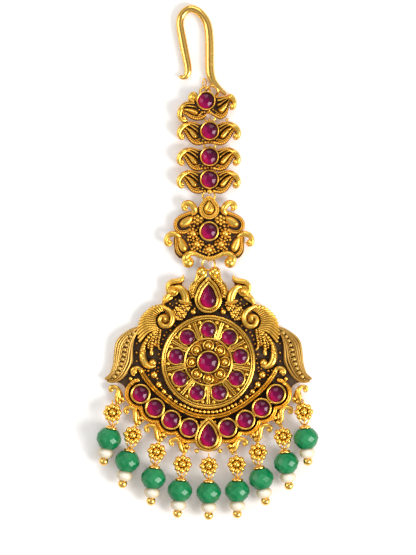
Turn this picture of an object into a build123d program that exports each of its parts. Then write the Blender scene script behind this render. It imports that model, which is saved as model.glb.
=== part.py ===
"""Maang tikka: a forehead jewel of gold-coloured metal that hangs from a hair hook.

The jewel lies on its back. X runs to the right, Y runs towards the hook, and Z rises out of the
decorated face. The origin is the centre of the pendant's round medallion, on the pendant's back.
All lengths are millimetres.
"""
import os
from math import atan2, cos, degrees, hypot, radians, sin

from build123d import *

# ---- driving dimensions -------------------------------------------------------------------
GAP = 0.05               # clearance round a stone in its setting
PLATE = 1.2              # thickness of the pendant's back plate
MEDALLION_TOP = 2.0      # top of the raised medallion
RELIEF_TOP = 2.8         # top of the chased birds, leaves and scrolls
SETTING_TOP = 3.1        # top edge of a stone setting

MEDALLION_RADIUS = 12.4
OUTER_RING = 11.2        # rope ring round the medallion
INNER_RING = 5.9         # ring round the centre flower
PETALS = 8
PETAL_CIRCLE = 4.1
MEDALLION_STONES = 9
MEDALLION_STONE_CIRCLE = 8.1
MEDALLION_STONE = 1.8    # stone radius
CENTRE_STONE = 2.4
CRESCENT_STONE = 1.95
WALL = 0.5               # wall of a stone setting
SCALLOP = 3.75           # radius of the crescent's edge round each stone
CRESCENT_STONES = ((-16.9, -7.95), (-13.3, -11.45), (-9.25, -14.4), (-4.75, -16.4))

UPPER_DROP = (0.0, 15.6)     # centre of the round end of the upper teardrop stone
UPPER_DROP_TIP = 3.7         # from that centre to the point
LOWER_DROP = (0.0, -19.0)
LOWER_DROP_TIP = 3.5
DROP_STONE = 1.95

LINK_PLATE_LOW = 1.4     # links stand this high on their eyes
LINK_PLATE_TOP = 2.3
LINK_STONE = 2.0
LINKS = ((-0.55, 65.15), (0.35, 57.65), (0.3, 51.2), (0.28, 45.55))
FIRST_LINK_TURN = 24     # the first link's left wing is bent down by this angle
ROSETTE = (0.2, 32.6)

EYE = 0.85               # radius of an upright eye
EYE_WIRE = 0.24
JUMP_WIRE = 0.26
JUMP_PLANE = 0.88        # height of the jump rings' wire
JUMP_RADIUS = {"links_1_2": 1.5, "links_2_3": 1.5, "links_3_4": 1.5, "link_rosette": 1.5,
               "rosette_pendant": 1.6}

HOOK_WIRE = 0.94         # radius of the hook's wire
HOOK_TIP = 0.72
HOOK_END = 0.45
HOOK_EYE = 1.42
HOOK_EYE_WIRE = 0.33
HOOK_EYE_CENTRE = (0.9, 67.5, 0.94)
LINK_EYE_CENTRE = (-0.8, 67.5, 1.0)
LINK_EYE = 1.25
RING_TILT = 25           # the two linked rings lean against each other by this angle

BEAD_RADIUS = 3.1
BEAD_HALF = 2.27         # half the bead's length along its hole
PEARL_RADIUS = 1.9
PEARL_HALF = 1.3
STRING_GAP = 0.06        # between the pieces threaded on a pin
HOLE = 0.32
PIN_WIRE = 0.2
PIN_BALL = 1.1
PIN_LOOP = 0.56
PIN_LOOP_AT = 3.75       # loop centre, from the bead's middle
CAP_RADIUS = 1.45
CAP_HEIGHT = 0.8
BEAD_AXIS = 3.12         # height of the bead's middle when it lies on its side
PIN_PITCH = 5            # the ball end dips by this angle
FLOWER_PITCH = 14        # the flower slopes down to the pendant by this angle
FLOWER_LENGTH = 6.0      # from the flower's lower eye to the pendant's eye
FLOWER_PETAL = 0.62
FLOWER_CIRCLE = 1.7
SMALL_EYE = 0.5          # radius of the eyes and loops between pendant, flower and pin
HANGER_WIDTH = 1.9
EYE_SEAT = 0.08          # how far an eye's wire sinks into its hanger
SMALL_WIRE = 0.17

# one row for each drop: bead's middle, swing of its pin, swing of its flower (degrees, + is left)
DROPS = (
    dict(x=-24.8, y=-19.2, pin=13, flower=-1),
    dict(x=-20.2, y=-24.8, pin=12, flower=11),
    dict(x=-13.7, y=-29.0, pin=6, flower=9),
    dict(x=-7.1, y=-32.1, pin=6, flower=5),
    dict(x=0.1, y=-32.6, pin=0, flower=0),
    dict(x=7.2, y=-32.2, pin=0, flower=-3),
    dict(x=13.2, y=-29.1, pin=-11, flower=0),
    dict(x=19.4, y=-25.2, pin=-7, flower=-6),
    dict(x=24.3, y=-19.1, pin=-5, flower=-3),
)
# one row for each pair of hangers: ball of the outer curl and the point it springs from
HANGERS = (
    dict(curl=(-24.2, -6.8), root=(-21.2, -5.2)),
    dict(curl=(-20.1, -12.4), root=(-17.3, -11.9)),
    dict(curl=(-14.9, -17.1), root=(-12.0, -16.0)),
    dict(curl=(-8.8, -20.5), root=(-6.6, -19.0)),
)

BOTTOM = (Align.CENTER, Align.CENTER, Align.MIN)


# ---- helpers ------------------------------------------------------------------------------
def export(shape, node):
    """Write one node's file."""
    export_step(shape, f"parts/{node}.step")


def mirrored(shapes):
    """The shapes and their mirror images across the jewel's middle line."""
    return list(shapes) + [mirror(shape, about=Plane.YZ) for shape in shapes]


def disc(x, y, radius, low, high):
    return Pos(x, y, low) * Cylinder(radius, high - low, align=BOTTOM)


def globe(radius):
    """A ball with a hair-thin flat at each pole."""
    flat = 0.12 * radius
    pole = (radius ** 2 - flat ** 2) ** 0.5
    side = ThreePointArc((flat, -pole), (radius, 0), (flat, pole))
    ends = Polyline((flat, pole), (0, pole), (0, -pole), (flat, -pole))
    return revolve(Plane.XZ * make_face(side + ends), Axis.Z)


def ball(x, y, radius, z):
    return Pos(x, y, z) * globe(radius)


def ribbon(points, width, low, high):
    """A flat-topped ridge of one width, with round ends, along a smooth line."""
    line = Spline(*points) if len(points) > 2 else Line(*points)
    steps = 3 * (len(points) - 1) if len(points) > 2 else 1
    places = [line @ (i / steps) for i in range(steps + 1)]
    pieces = [Pos(place.X, place.Y) * Circle(width / 2) for place in places]
    for first, last in zip(places, places[1:]):
        run = last - first
        middle = (first + last) * 0.5
        turn = degrees(atan2(run.Y, run.X))
        pieces.append(Pos(middle.X, middle.Y) * Rot(0, 0, turn) * Rectangle(run.length, width))
    outline = pieces[0] + pieces[1:]
    return Pos(0, 0, low) * extrude(outline, amount=high - low)


def slab(outline, low, high):
    return Pos(0, 0, low) * extrude(make_face(outline), amount=high - low)


def ring(centre, radius, wire, turn=(0, 0, 0)):
    return Pos(*centre) * Rotation(*turn) * Torus(radius, wire)


def teardrop(radius, tip):
    """Outline of a teardrop: a round end at the origin and a point at (0, tip)."""
    spread = degrees(atan2((tip ** 2 - radius ** 2) ** 0.5, radius))
    side = (radius * sin(radians(spread)), radius * cos(radians(spread)))
    round_end = ThreePointArc(side, (0, -radius), (-side[0], side[1]))
    return make_face([round_end, Line((-side[0], side[1]), (0, tip)), Line((0, tip), side)])


def cabochon(x, y, radius, base, girdle, height):
    """A round stone from its base up: a straight girdle under a dome cut from a sphere."""
    rise = height - girdle
    curve = (radius ** 2 + rise ** 2) / (2 * rise)
    stone = disc(0, 0, radius, 0, height) & Pos(0, 0, height - curve) * Sphere(curve)
    return Pos(x, y, base) * stone


def drop_stone(x, y, tip, base, height):
    """A teardrop stone: a straight girdle under a crown that draws in to a small table."""
    girdle = height * 0.55
    stone = extrude(teardrop(DROP_STONE, tip), amount=girdle)
    table = Pos(0, 0, height) * teardrop(DROP_STONE * 0.6, tip * 0.66)
    crown = loft([Pos(0, 0, girdle) * teardrop(DROP_STONE, tip), table])
    return Pos(x, y, base) * (stone + crown)


def pocket(x, y, radius, floor):
    """The space for a round stone, with its clearance."""
    return disc(x, y, radius + GAP, floor, 9)


def setting_ring(x, y, radius, low, high):
    return disc(x, y, radius + WALL, low, high)


# ---- pendant ------------------------------------------------------------------------------
def on_circle(count, radius, start=90):
    """Places evenly round a circle, clockwise from the top."""
    step = 360 / count
    return [(radius * cos(radians(start - i * step)), radius * sin(radians(start - i * step)))
            for i in range(count)]


def back_plate():
    """The flat plate that carries everything on the pendant."""
    shoulders = Polyline(
        (0, 0), (-17.2, -2.2), (-17.7, 7.8), (-16.4, 11.4), (-14.6, 13.2), (-11.9, 14.3),
        (-11.0, 18.6), (-9.6, 20.0), (-6.4, 20.8), (-3.6, 20.2), (0, 22.2), close=True)
    apron = Polyline((0, 0), (-17.2, -2.2), (-16.8, -8), (-13, -11.5), (-9, -14.4), (0, -17),
                     close=True)
    halves = [slab(shoulders, 0, PLATE), slab(apron, 0, PLATE)]
    halves += [disc(x, y, SCALLOP, 0, PLATE) for x, y in CRESCENT_STONES]
    return mirrored(halves) + [
        disc(0, 0, MEDALLION_RADIUS, 0, MEDALLION_TOP),
        disc(*LOWER_DROP, 3.4, 0, PLATE),
        disc(*UPPER_DROP, 3.9, 0, PLATE),
    ]


def medallion():
    """Rings, petals and settings of the round centre."""
    top = MEDALLION_TOP
    pieces = [
        ring((0, 0, top), OUTER_RING, 0.5),
        ring((0, 0, top), INNER_RING, 0.4),
        setting_ring(0, 0, CENTRE_STONE, top - 0.5, 3.6),
    ]
    for x, y in on_circle(PETALS, PETAL_CIRCLE):
        pieces.append(ball(x, y, 0.9, top))
    for x, y in on_circle(MEDALLION_STONES, MEDALLION_STONE_CIRCLE):
        pieces.append(setting_ring(x, y, MEDALLION_STONE, top - 0.5, SETTING_TOP))
    bar = Pos(0, MEDALLION_STONE_CIRCLE + 0.2, top - 0.4) * Box(0.5, 3.6, 1.0, align=BOTTOM)
    for i in range(MEDALLION_STONES):
        pieces.append(Rot(0, 0, (i + 0.5) * 360 / MEDALLION_STONES) * bar)
    return pieces


def crescent():
    """Settings, rims and granules below the medallion; left half."""
    pieces = []
    for x, y in CRESCENT_STONES:
        pieces.append(setting_ring(x, y, CRESCENT_STONE, PLATE - 0.5, SETTING_TOP))
        pieces.append(disc(x, y, SCALLOP, PLATE - 0.4, PLATE + 0.5)
                      - disc(x, y, SCALLOP - 0.7, PLATE - 0.5, PLATE + 0.6))
    rim = ((-16.9, -2.1), (-14.9, -6.15), (-11.25, -9.45), (-7.6, -11.85), (-3.9, -13.5), (0, -14.1))
    pieces.append(ribbon(rim, 0.9, PLATE - 0.4, PLATE + 1.1))
    pieces.append(ball(-18.1, -2.3, 1.0, 1.8))
    for x, y, radius in ((-13.5, -3.3, 0.9), (-12.2, -5.6, 0.75), (-10.9, -7.4, 0.65)):
        pieces.append(ball(x, y, radius, PLATE + 0.2))
    return pieces


def bird():
    """The left peacock: head, crest, beak, neck, breast, whorl and fan of feathers."""
    low = PLATE - 0.4
    top = RELIEF_TOP
    crest = ((-10.4, 17.9), (-10.1, 19.6), (-8.3, 20.3), (-6.8, 20.7), (-6.2, 21.6))
    neck = ((-9.0, 17.8), (-6.6, 18.4), (-5.2, 17.0), (-5.0, 14.6))
    breast = Polyline((-6.3, 14.4), (-4.4, 14.2), (-5.3, 11.5), (-7.2, 10.0), (-8.3, 11.2), close=True)
    fan = Polyline((-10.9, 12.6), (-11.7, 14.1), (-14.5, 13.0), (-16.2, 11.3), (-17.3, 8.4),
                   (-14.2, 7.0), (-12.6, 9.0), close=True)
    strands = (
        ((-14.6, 9.0), (-16.4, 4.6), (-17.0, 1.7), (-16.2, -0.9), (-14.3, -1.3)),
        ((-13.4, 8.4), (-14.8, 5.0), (-15.2, 2.2)),
        ((-12.3, 8.0), (-13.3, 5.6), (-13.5, 3.4)),
    )
    pieces = [
        ball(-9.0, 17.8, 1.4, 1.8),
        ribbon(crest, 0.9, low, 2.2),
        ribbon(((-9.6, 17.0), (-11.5, 14.5)), 0.9, low, 2.4),
        ribbon(neck, 1.7, low, top),
        slab(breast, low, top),
        slab(fan, low, 2.3),
        disc(-11.0, 10.6, 2.6, low, 2.3),
        ring((-11.0, 10.6, 2.3), 2.1, 0.5),
        ball(-11.0, 10.6, 0.9, 2.3),
        ball(-13.9, 0.0, 0.9, 1.7),
        ball(-14.1, 2.5, 0.8, 1.7),
    ]
    pieces += [ribbon(line, 0.9, low, 2.3) for line in strands]
    return pieces


def leaf():
    """The left side leaf: a bevelled blade with three long ridges."""
    outer = Spline((-17.6, 8.7), (-22.1, 6.7), (-23.5, 1.7), (-23.7, -1.0), (-25.8, -4.1))
    tip = Line((-25.8, -4.1), (-24.1, -5.3))
    inner = Spline((-24.1, -5.3), (-21.4, -4.5), (-19.6, 0), (-19.2, 3.2), (-17.6, 7.6))
    back = Line((-17.6, 7.6), (-17.6, 8.7))
    blade = slab(outer + tip + inner + back, 0, 2.0)
    ridges = (
        ((-18.6, 7.9), (-22.2, 5.0), (-22.6, 0), (-24.6, -4.0)),
        ((-18.9, 6.6), (-20.5, 4.2), (-20.8, 0), (-22.4, -3.8)),
    )
    bridge = slab(Polyline((-17.0, 7.9), (-19.6, 4.5), (-19.8, -2.5), (-17.0, -4.0), close=True), 0, PLATE)
    return [blade, bridge] + [ribbon(line, 0.8, 1.6, 2.6) for line in ridges]


def crown():
    """Scrolls, balls and eye above the upper teardrop stone; left half."""
    stem = ((-0.9, 21.7), (-3.0, 19.9), (-4.2, 18.0), (-4.0, 16.2))
    return [
        ball(-1.65, 22.5, 1.2, 2.1),
        ribbon(stem, 1.0, PLATE - 0.4, 2.3),
        ball(-3.7, 12.5, 0.75, 1.7),
    ]


def teardrop_setting(x, y, tip, high):
    """The wall round a teardrop stone."""
    return Pos(x, y, PLATE - 0.5) * extrude(teardrop(DROP_STONE + WALL + 0.25, tip + 1.2),
                                            amount=high - PLATE + 0.5)


def drop_pocket(x, y, tip, floor):
    return Pos(x, y, floor) * extrude(teardrop(DROP_STONE + GAP, tip + 0.1), amount=6)


def pendant_stone_places():
    """Every round stone of the pendant: name, x, y, radius, floor of its pocket and height."""
    crescent_row = list(CRESCENT_STONES) + [(-x, y) for x, y in CRESCENT_STONES]
    places = {
        "ruby_centre": [(0, 0, CENTRE_STONE, 2.4, 1.9)],
        "rubies_medallion": [(x, y, MEDALLION_STONE, 2.1, 1.5) for x, y
                             in on_circle(MEDALLION_STONES, MEDALLION_STONE_CIRCLE)],
        "rubies_crescent": [(x, y, CRESCENT_STONE, 1.9, 1.7) for x, y in crescent_row],
    }
    return places


# ---- drops --------------------------------------------------------------------------------
def pin_place(drop):
    """Frame of a drop: the bead's middle at the origin, its pin along Y with the loop at +Y."""
    return Pos(drop["x"], drop["y"], BEAD_AXIS) * Rot(0, 0, -drop["pin"]) * Rot(PIN_PITCH, 0, 0)


def flower_place(drop):
    """Frame of a flower: its lower eye at the origin and its upper loop along +Y."""
    loop = pin_place(drop) * Pos(0, PIN_LOOP_AT + PIN_LOOP, 0)
    spot = loop.position
    return Pos(spot.X, spot.Y, spot.Z) * Rot(0, 0, -drop["flower"]) * Rot(-FLOWER_PITCH, 0, 0)


def hanger_eye(drop):
    """Where the pendant's eye for a drop sits."""
    return (flower_place(drop) * Pos(0, FLOWER_LENGTH, 0)).position


def hanger(row, drop):
    """A paisley that carries one drop: curl ball, body and flat eye."""
    eye = hanger_eye(drop)
    curl_x, curl_y = row["curl"]
    root_x, root_y = row["root"]
    reach = hypot(eye.X - root_x, eye.Y - root_y)
    share = (SMALL_EYE + EYE_SEAT + HANGER_WIDTH / 2) / reach
    neck = (eye.X + (root_x - eye.X) * share, eye.Y + (root_y - eye.Y) * share)
    arch = (root_x + (curl_x - root_x) * 0.55, root_y + (curl_y - root_y) * 0.4 + 0.5)
    return [
        ribbon(((curl_x, curl_y), arch, (root_x, root_y)), 1.3, 0.3, 2.1),
        ribbon(((root_x, root_y), neck), HANGER_WIDTH, 0.3, 2.1),
        disc(root_x, root_y, 1.2, 0.3, 2.1),
        ball(curl_x, curl_y, 0.95, 1.5),
        ring((eye.X, eye.Y, eye.Z), SMALL_EYE, SMALL_WIRE),
    ]


def flower():
    """A rosette of granules on a small disc, with a loop above and an eye below."""
    upper = FLOWER_LENGTH - SMALL_EYE
    middle = upper / 2
    pieces = [Pos(0, middle, 0) * Cylinder(FLOWER_CIRCLE, 0.6), ball(0, middle, 0.75, 0.35)]
    for x, y in on_circle(8, FLOWER_CIRCLE):
        pieces.append(ball(x, y + middle, FLOWER_PETAL, 0.1))
    for y in (0, upper):
        pieces.append(ring((0, y, 0), SMALL_EYE, SMALL_WIRE, (0, 90, 0)))
    return pieces[0] + pieces[1:]


def along_pin(profile):
    """Turn a profile (distance from the pin, place along it) into a round piece on the Y axis."""
    return revolve(make_face(profile), Axis.Y)


def head_pin():
    """Wire with a ball at its foot, a cap over the bead and a loop on top."""
    foot = -(BEAD_HALF + 2 * PEARL_HALF + 2 * STRING_GAP + PIN_BALL * 0.96)
    cap_low = BEAD_HALF + STRING_GAP
    wire = Pos(0, (foot + PIN_LOOP_AT) / 2 - 0.2, 0) * Rot(90, 0, 0) \
        * Cylinder(PIN_WIRE, PIN_LOOP_AT - foot - 0.6)
    cap = along_pin(Polyline((0, cap_low), (CAP_RADIUS, cap_low), (CAP_RADIUS - 0.3, cap_low + 0.45),
                             (0.6, cap_low + CAP_HEIGHT), (0, cap_low + CAP_HEIGHT), close=True))
    loop = ring((0, PIN_LOOP_AT, 0), PIN_LOOP, PIN_WIRE)
    return wire + [cap, loop, Pos(0, foot, 0) * globe(PIN_BALL)]


def bead():
    """A faceted-looking rondelle with a hole along Y."""
    half = BEAD_HALF
    return along_pin(Polyline(
        (HOLE, -half), (1.35, -half), (2.45, -half * 0.7), (BEAD_RADIUS, -half * 0.24),
        (BEAD_RADIUS, half * 0.24), (2.45, half * 0.7), (1.35, half), (HOLE, half), close=True))


def pearl():
    """A button pearl with a hole along Y, below the bead."""
    middle = -(BEAD_HALF + PEARL_HALF + STRING_GAP)
    skin = ThreePointArc((HOLE, middle + PEARL_HALF), (PEARL_RADIUS, middle), (HOLE, middle - PEARL_HALF))
    return along_pin(skin + Line((HOLE, middle - PEARL_HALF), (HOLE, middle + PEARL_HALF)))


# ---- links, rosette, rings and hook -------------------------------------------------------
def upright_eye(x, y):
    """An eye that stands on edge, open to a jump ring lying flat."""
    return ring((x, y, EYE + EYE_WIRE + 0.02), EYE, EYE_WIRE, (0, 90, 0))


def wing():
    """The right wing of a link about the link's stone: a paisley with a curled tip."""
    top = Spline((1.2, 1.0), (3.5, 2.2), (5.3, 2.3), (7.2, 0.9), (7.8, -1.1), (6.7, -1.9))
    curl = Line((6.7, -1.9), (6.1, -1.1))
    inner = Spline((6.1, -1.1), (5.4, -0.5), (4.4, -2.2), (2.6, -3.3), (0.8, -2.6))
    root = Line((0.8, -2.6), (1.2, 1.0))
    return [
        slab(top + curl + inner + root, LINK_PLATE_LOW, LINK_PLATE_TOP),
        ball(6.7, -1.2, 0.75, 2.3),
        Pos(3.6, -0.3, LINK_PLATE_TOP - 0.2) * Rot(0, 0, -8) * extrude(Ellipse(1.9, 1.2), 0.7, taper=25),
        ribbon(((1.6, 1.5), (3.5, 1.9), (5.3, 1.9), (6.9, 0.6), (7.3, -0.9)), 0.5, 2.0, 2.7),
    ]


def link(index):
    """One link of the stem, with a stone setting, two wings and its eyes."""
    x, y = LINKS[index]
    right = wing()
    left = [mirror(piece, about=Plane.YZ) for piece in wing()]
    if index == 0:
        left = [Rot(0, 0, FIRST_LINK_TURN) * piece for piece in left]
        right = [Rot(0, 0, 3) * piece for piece in right] + [ball(-3.1, 0.9, 1.1, 2.0)]
    base = disc(0, 0, LINK_STONE + WALL, LINK_PLATE_LOW, 3.3)
    body = Pos(x, y, 0) * (base + right + left)
    eyes = []
    if index == 0:
        eyes.append(ring(LINK_EYE_CENTRE, LINK_EYE, 0.3, (-RING_TILT, 0, 0)))
        loop_x, loop_y = LINK_EYE_CENTRE[0] - 0.2, LINK_EYE_CENTRE[1] + 2.2
        slot = SlotOverall(2.45, 1.2, 90) - SlotOverall(1.65, 0.4, 90)
        eyes.append(Pos(loop_x, loop_y, 0.35) * extrude(slot, amount=0.4))
    eyes += [upright_eye(ex, ey) for ex, ey in link_eyes(index)]
    body = body + eyes
    return body - pocket(x, y, LINK_STONE, 2.2)


def joint_places():
    """Centre of each jump ring, by name."""
    middles = {}
    for i in range(3):
        (x1, y1), (x2, y2) = LINKS[i], LINKS[i + 1]
        middles[f"links_{i + 1}_{i + 2}"] = ((x1 + x2) / 2 + (0.35 if i == 0 else 0), (y1 + y2) / 2)
    middles["link_rosette"] = (0.1, 41.5)
    middles["rosette_pendant"] = (0.05, 24.45)
    return middles


def eye_at(joint, side):
    """The eye above (side 1) or below (side -1) a jump ring's centre."""
    x, y = joint_places()[joint]
    return (x, y + side * JUMP_RADIUS[joint])


def link_eyes(index):
    names = ["links_1_2", "links_2_3", "links_3_4", "link_rosette"]
    eyes = [eye_at(names[index], 1)]
    if index:
        eyes.append(eye_at(names[index - 1], -1))
    return eyes


def rosette():
    """The flower-shaped joint between stem and pendant."""
    x, y = ROSETTE
    low, top = LINK_PLATE_LOW, LINK_PLATE_TOP
    half = [
        disc(-6.0, 2.1, 3.0, low, top), disc(-6.7, -3.7, 2.7, low, top),
        disc(-5.0, -7.4, 1.6, low, top), disc(-3.1, 5.6, 1.9, low, top),
        ball(-5.8, 6.1, 0.95, 2.0), ribbon(((-5.9, 6.3), (-5.0, 7.4), (-3.8, 7.0), (-3.4, 5.6)), 0.8, low, 2.6),
        ball(-10.05, -2.7, 0.95, 2.2), ribbon(((-10.0, -2.8), (-9.4, -0.6), (-6.5, 0.3)), 1.1, low, 2.7),
        ball(-5.2, -7.7, 1.35, 2.2), ball(-4.2, -0.5, 1.1, 2.7), ball(-3.1, -3.3, 1.1, 2.7),
        Pos(-6.0, 2.1, top - 0.3) * extrude(Circle(2.1), 0.8, taper=25),
        Pos(-6.6, -3.8, top - 0.3) * extrude(Circle(1.8), 0.8, taper=25),
        ribbon(((-5.2, -7.4), (-4.2, -5.2), (-2.2, -5.6), (0, -6.9)), 1.0, low, 2.7),
    ]
    pieces = mirrored(half) + [
        disc(0, 0, 6.0, low, top),
        Pos(0, 5.0, low) * extrude(teardrop(2.4, 3.6), amount=1.6),
        ball(0, -4.5, 1.1, 2.7),
        disc(0, 0, LINK_STONE + WALL, low, 3.6),
    ]
    body = Pos(x, y, 0) * (pieces[0] + pieces[1:])
    body = body + [upright_eye(*eye_at("link_rosette", -1)), upright_eye(*eye_at("rosette_pendant", 1))]
    return body - pocket(x, y, LINK_STONE, 2.4)


def hair_hook():
    """A round wire bent into a long hook, with an eye soldered to its lower end."""
    shank = Line((0.43, 72.4), (0.43, 80.5))
    side = TangentArc((0.43, 80.5), (-1.1, 86.2), tangent=(0, 1))
    crest = TangentArc(side @ 1, (-4.3, 88.25), tangent=side % 1)
    shoulder = TangentArc(crest @ 1, (-6.2, 87.25), tangent=crest % 1)
    flank = TangentArc(shoulder @ 1, (-7.2, 84.2), tangent=shoulder % 1)
    ease = TangentArc(flank @ 1, (-7.0, 82.0), tangent=flank % 1)
    return_end = ease @ 1 + (ease % 1) * 8.9
    arm = Line(ease @ 1, return_end)
    nose = TangentArc(arm @ 1, (-6.7, 71.2), tangent=arm % 1)
    knee = TangentArc((0.43, 72.4), (1.9, 68.9), tangent=(0, -1))
    main = sweep(Plane.XZ.offset(-72.4) * Pos(0.43, 0) * Circle(HOOK_WIRE),
                 shank + side + crest + shoulder + flank + ease + arm)
    start = Plane(origin=nose @ 0, z_dir=nose % 0)
    nose_wire = sweep(start * Circle(HOOK_TIP), nose)
    knee_wire = sweep(Plane(origin=knee @ 0, z_dir=knee % 0) * Circle(HOOK_WIRE), knee)
    low_end = Vector(4.3, 66.95, -0.47)
    fall = low_end - knee @ 1
    taper = Plane(origin=knee @ 1, z_dir=fall) * Cone(HOOK_WIRE, HOOK_END, fall.length, align=BOTTOM)
    balls = [Pos(nose @ 1) * Sphere(HOOK_TIP), Pos(low_end) * Sphere(HOOK_END),
             Pos(arm @ 1) * Sphere(HOOK_WIRE)]
    bent = Pos(0, 0, HOOK_WIRE + 0.02) * (main + [nose_wire, knee_wire, taper] + balls)
    return bent + ring(HOOK_EYE_CENTRE, HOOK_EYE, HOOK_EYE_WIRE, (RING_TILT, 0, 0))


def pendant():
    """Everything soldered to the pendant's back plate, with pockets for its stones."""
    pieces = back_plate() + medallion() + mirrored(crescent() + bird() + leaf() + crown())
    for row, drop in zip(HANGERS, DROPS[:4]):
        pieces += hanger(row, drop)
    for row, drop in zip(HANGERS, DROPS[:4:-1]):
        flipped = {name: (-x, y) for name, (x, y) in row.items()}
        pieces += hanger(flipped, drop)
    middle = hanger_eye(DROPS[4])
    pieces += [
        ribbon(((0, -20.5), (middle.X, middle.Y + SMALL_EYE + EYE_SEAT + HANGER_WIDTH / 2)), HANGER_WIDTH, 0.3, 2.1),
        ring((middle.X, middle.Y, middle.Z), SMALL_EYE, SMALL_WIRE),
        teardrop_setting(*UPPER_DROP, UPPER_DROP_TIP, 3.4),
        teardrop_setting(*LOWER_DROP, LOWER_DROP_TIP, SETTING_TOP),
        upright_eye(*eye_at("rosette_pendant", -1)),
        ribbon(((0, 20.5), (0, 21.6)), 1.6, 0, PLATE),
    ]
    body = pieces[0] + pieces[1:]
    holes = [pocket(x, y, radius, floor) for row in pendant_stone_places().values()
             for x, y, radius, floor, _ in row]
    holes += [drop_pocket(*UPPER_DROP, UPPER_DROP_TIP, 2.2), drop_pocket(*LOWER_DROP, LOWER_DROP_TIP, 2.0)]
    return body - holes


# ---- build --------------------------------------------------------------------------------
os.makedirs("parts", exist_ok=True)

export(hair_hook(), "hair_hook")
for number in range(4):
    export(link(number), f"link_{number + 1}")
    stone_x, stone_y = LINKS[number]
    export(cabochon(stone_x, stone_y, LINK_STONE, 2.2 + GAP, 1.0, 1.7), f"ruby_link_{number + 1}")
export(rosette(), "rosette")
export(cabochon(*ROSETTE, LINK_STONE, 2.4 + GAP, 1.1, 1.8), "ruby_rosette")
for joint, (joint_x, joint_y) in joint_places().items():
    export(ring((joint_x, joint_y, JUMP_PLANE), JUMP_RADIUS[joint], JUMP_WIRE), f"ring_{joint}")

export(pendant(), "pendant")
for node, row in pendant_stone_places().items():
    stones = [cabochon(x, y, radius, floor + GAP, height * 0.55, height)
              for x, y, radius, floor, height in row]
    export(stones[0] if len(stones) == 1 else Compound(children=stones), node)
export(drop_stone(*UPPER_DROP, UPPER_DROP_TIP, 2.2 + GAP, 2.0), "ruby_upper_drop")
export(drop_stone(*LOWER_DROP, LOWER_DROP_TIP, 2.0 + GAP, 1.9), "ruby_lower_drop")

for number, drop in enumerate(DROPS, 1):
    export(flower_place(drop) * flower(), f"flower_{number}")
    export(pin_place(drop) * head_pin(), f"head_pin_{number}")
    export(pin_place(drop) * bead(), f"green_bead_{number}")
    export(pin_place(drop) * pearl(), f"pearl_{number}")
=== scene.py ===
"""Looks of the maang tikka: chased antique gold, red cabochons, green rondelles and pearls.

Shapes are worked out in millimetres in the frame of the CAD model (X right, Y to the hook, Z up out
of the decorated face) and are written to Blender in metres.
"""
from math import acos, atan2, cos, hypot, pi, radians, sin

import bmesh
import bpy
import numpy as np
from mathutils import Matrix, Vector


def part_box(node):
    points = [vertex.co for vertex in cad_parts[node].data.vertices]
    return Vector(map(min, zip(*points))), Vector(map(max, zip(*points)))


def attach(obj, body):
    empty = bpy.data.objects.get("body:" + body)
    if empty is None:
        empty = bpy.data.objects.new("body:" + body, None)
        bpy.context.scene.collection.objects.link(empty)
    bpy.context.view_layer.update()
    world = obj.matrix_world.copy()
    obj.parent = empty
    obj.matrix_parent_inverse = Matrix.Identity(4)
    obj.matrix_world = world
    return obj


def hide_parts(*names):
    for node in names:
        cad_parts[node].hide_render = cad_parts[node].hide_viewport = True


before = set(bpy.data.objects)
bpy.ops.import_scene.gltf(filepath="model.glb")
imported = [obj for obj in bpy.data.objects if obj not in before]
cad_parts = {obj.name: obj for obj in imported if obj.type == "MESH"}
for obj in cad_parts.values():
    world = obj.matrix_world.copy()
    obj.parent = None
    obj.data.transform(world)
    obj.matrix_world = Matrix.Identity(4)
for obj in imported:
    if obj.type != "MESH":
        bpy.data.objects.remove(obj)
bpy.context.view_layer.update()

MM = 0.001
SHARP_ANGLE = 58         # degrees from which an edge shades as a crease

# heights of the layers, in millimetres
GROUND = 1.0             # dark sunk ground of the pendant
MEDALLION_GROUND = 1.9
LINK_BACK = 1.4
LINK_GROUND = 2.1
ROSETTE_GROUND = 1.4
SETTING_TOP = 3.1        # lip of the settings of the crescent and of the lower teardrop

# the pendant's plan
MEDALLION_EDGE = 11.6
OUTER_WIRE = 11.42       # radii of the two wires along its edge
SECOND_WIRE = 10.82
INNER_RING = 5.9         # radius of the ring about the flower
DIVIDER_START = 6.05     # where the wires between the stones start, outside that ring
CENTRE_STONE = 2.4
MEDALLION_STONE = 1.8
MEDALLION_STONE_CIRCLE = 8.1
MEDALLION_STONES = 9
PETALS = 8
PETAL_CIRCLE = 4.12
PETAL_RADIUS = 1.2
PETAL_GAPS = 5.2         # radius of the granules between the petals
CRESCENT_STONE = 1.95
LOWER_SCALLOP = (0.0, -18.6)            # middle of the scallop about the lower teardrop
CRESCENT_STONES = ((-16.9, -7.95), (-13.3, -11.45), (-9.25, -14.4), (-4.75, -16.4))
STONE_PLAY = 0.03        # how much smaller a stone is than its seat
UPPER_DROP = (0, 15.6, 1.95, 3.7)       # x, y, radius and tip of the teardrop stones
LOWER_DROP = (0, -19.0, 1.95, 3.5)
LINK_STONE = 1.97        # seat of the stone of a link and of the rosette
LINK_STONE_RADIUS = 1.95

# the small loops and rings of the chain
EYE_RADIUS = 0.85
EYE_WIRE = 0.24
JUMP_WIRE = 0.26
JOINTS = ("ring_links_1_2", "ring_links_2_3", "ring_links_3_4", "ring_link_rosette", "ring_rosette_pendant")


# ---- mesh kit -----------------------------------------------------------------------------
def grid_faces(rows, cols, wrap):
    """Quads between rows of points; wrap joins the last column to the first."""
    row = np.arange(rows - 1)[:, None] * cols
    col = np.arange(cols if wrap else cols - 1)[None, :]
    following = (col + 1) % cols
    quads = np.stack([row + col, row + following, row + cols + following, row + cols + col], axis=-1)
    return quads.reshape(-1, 4)


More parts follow.
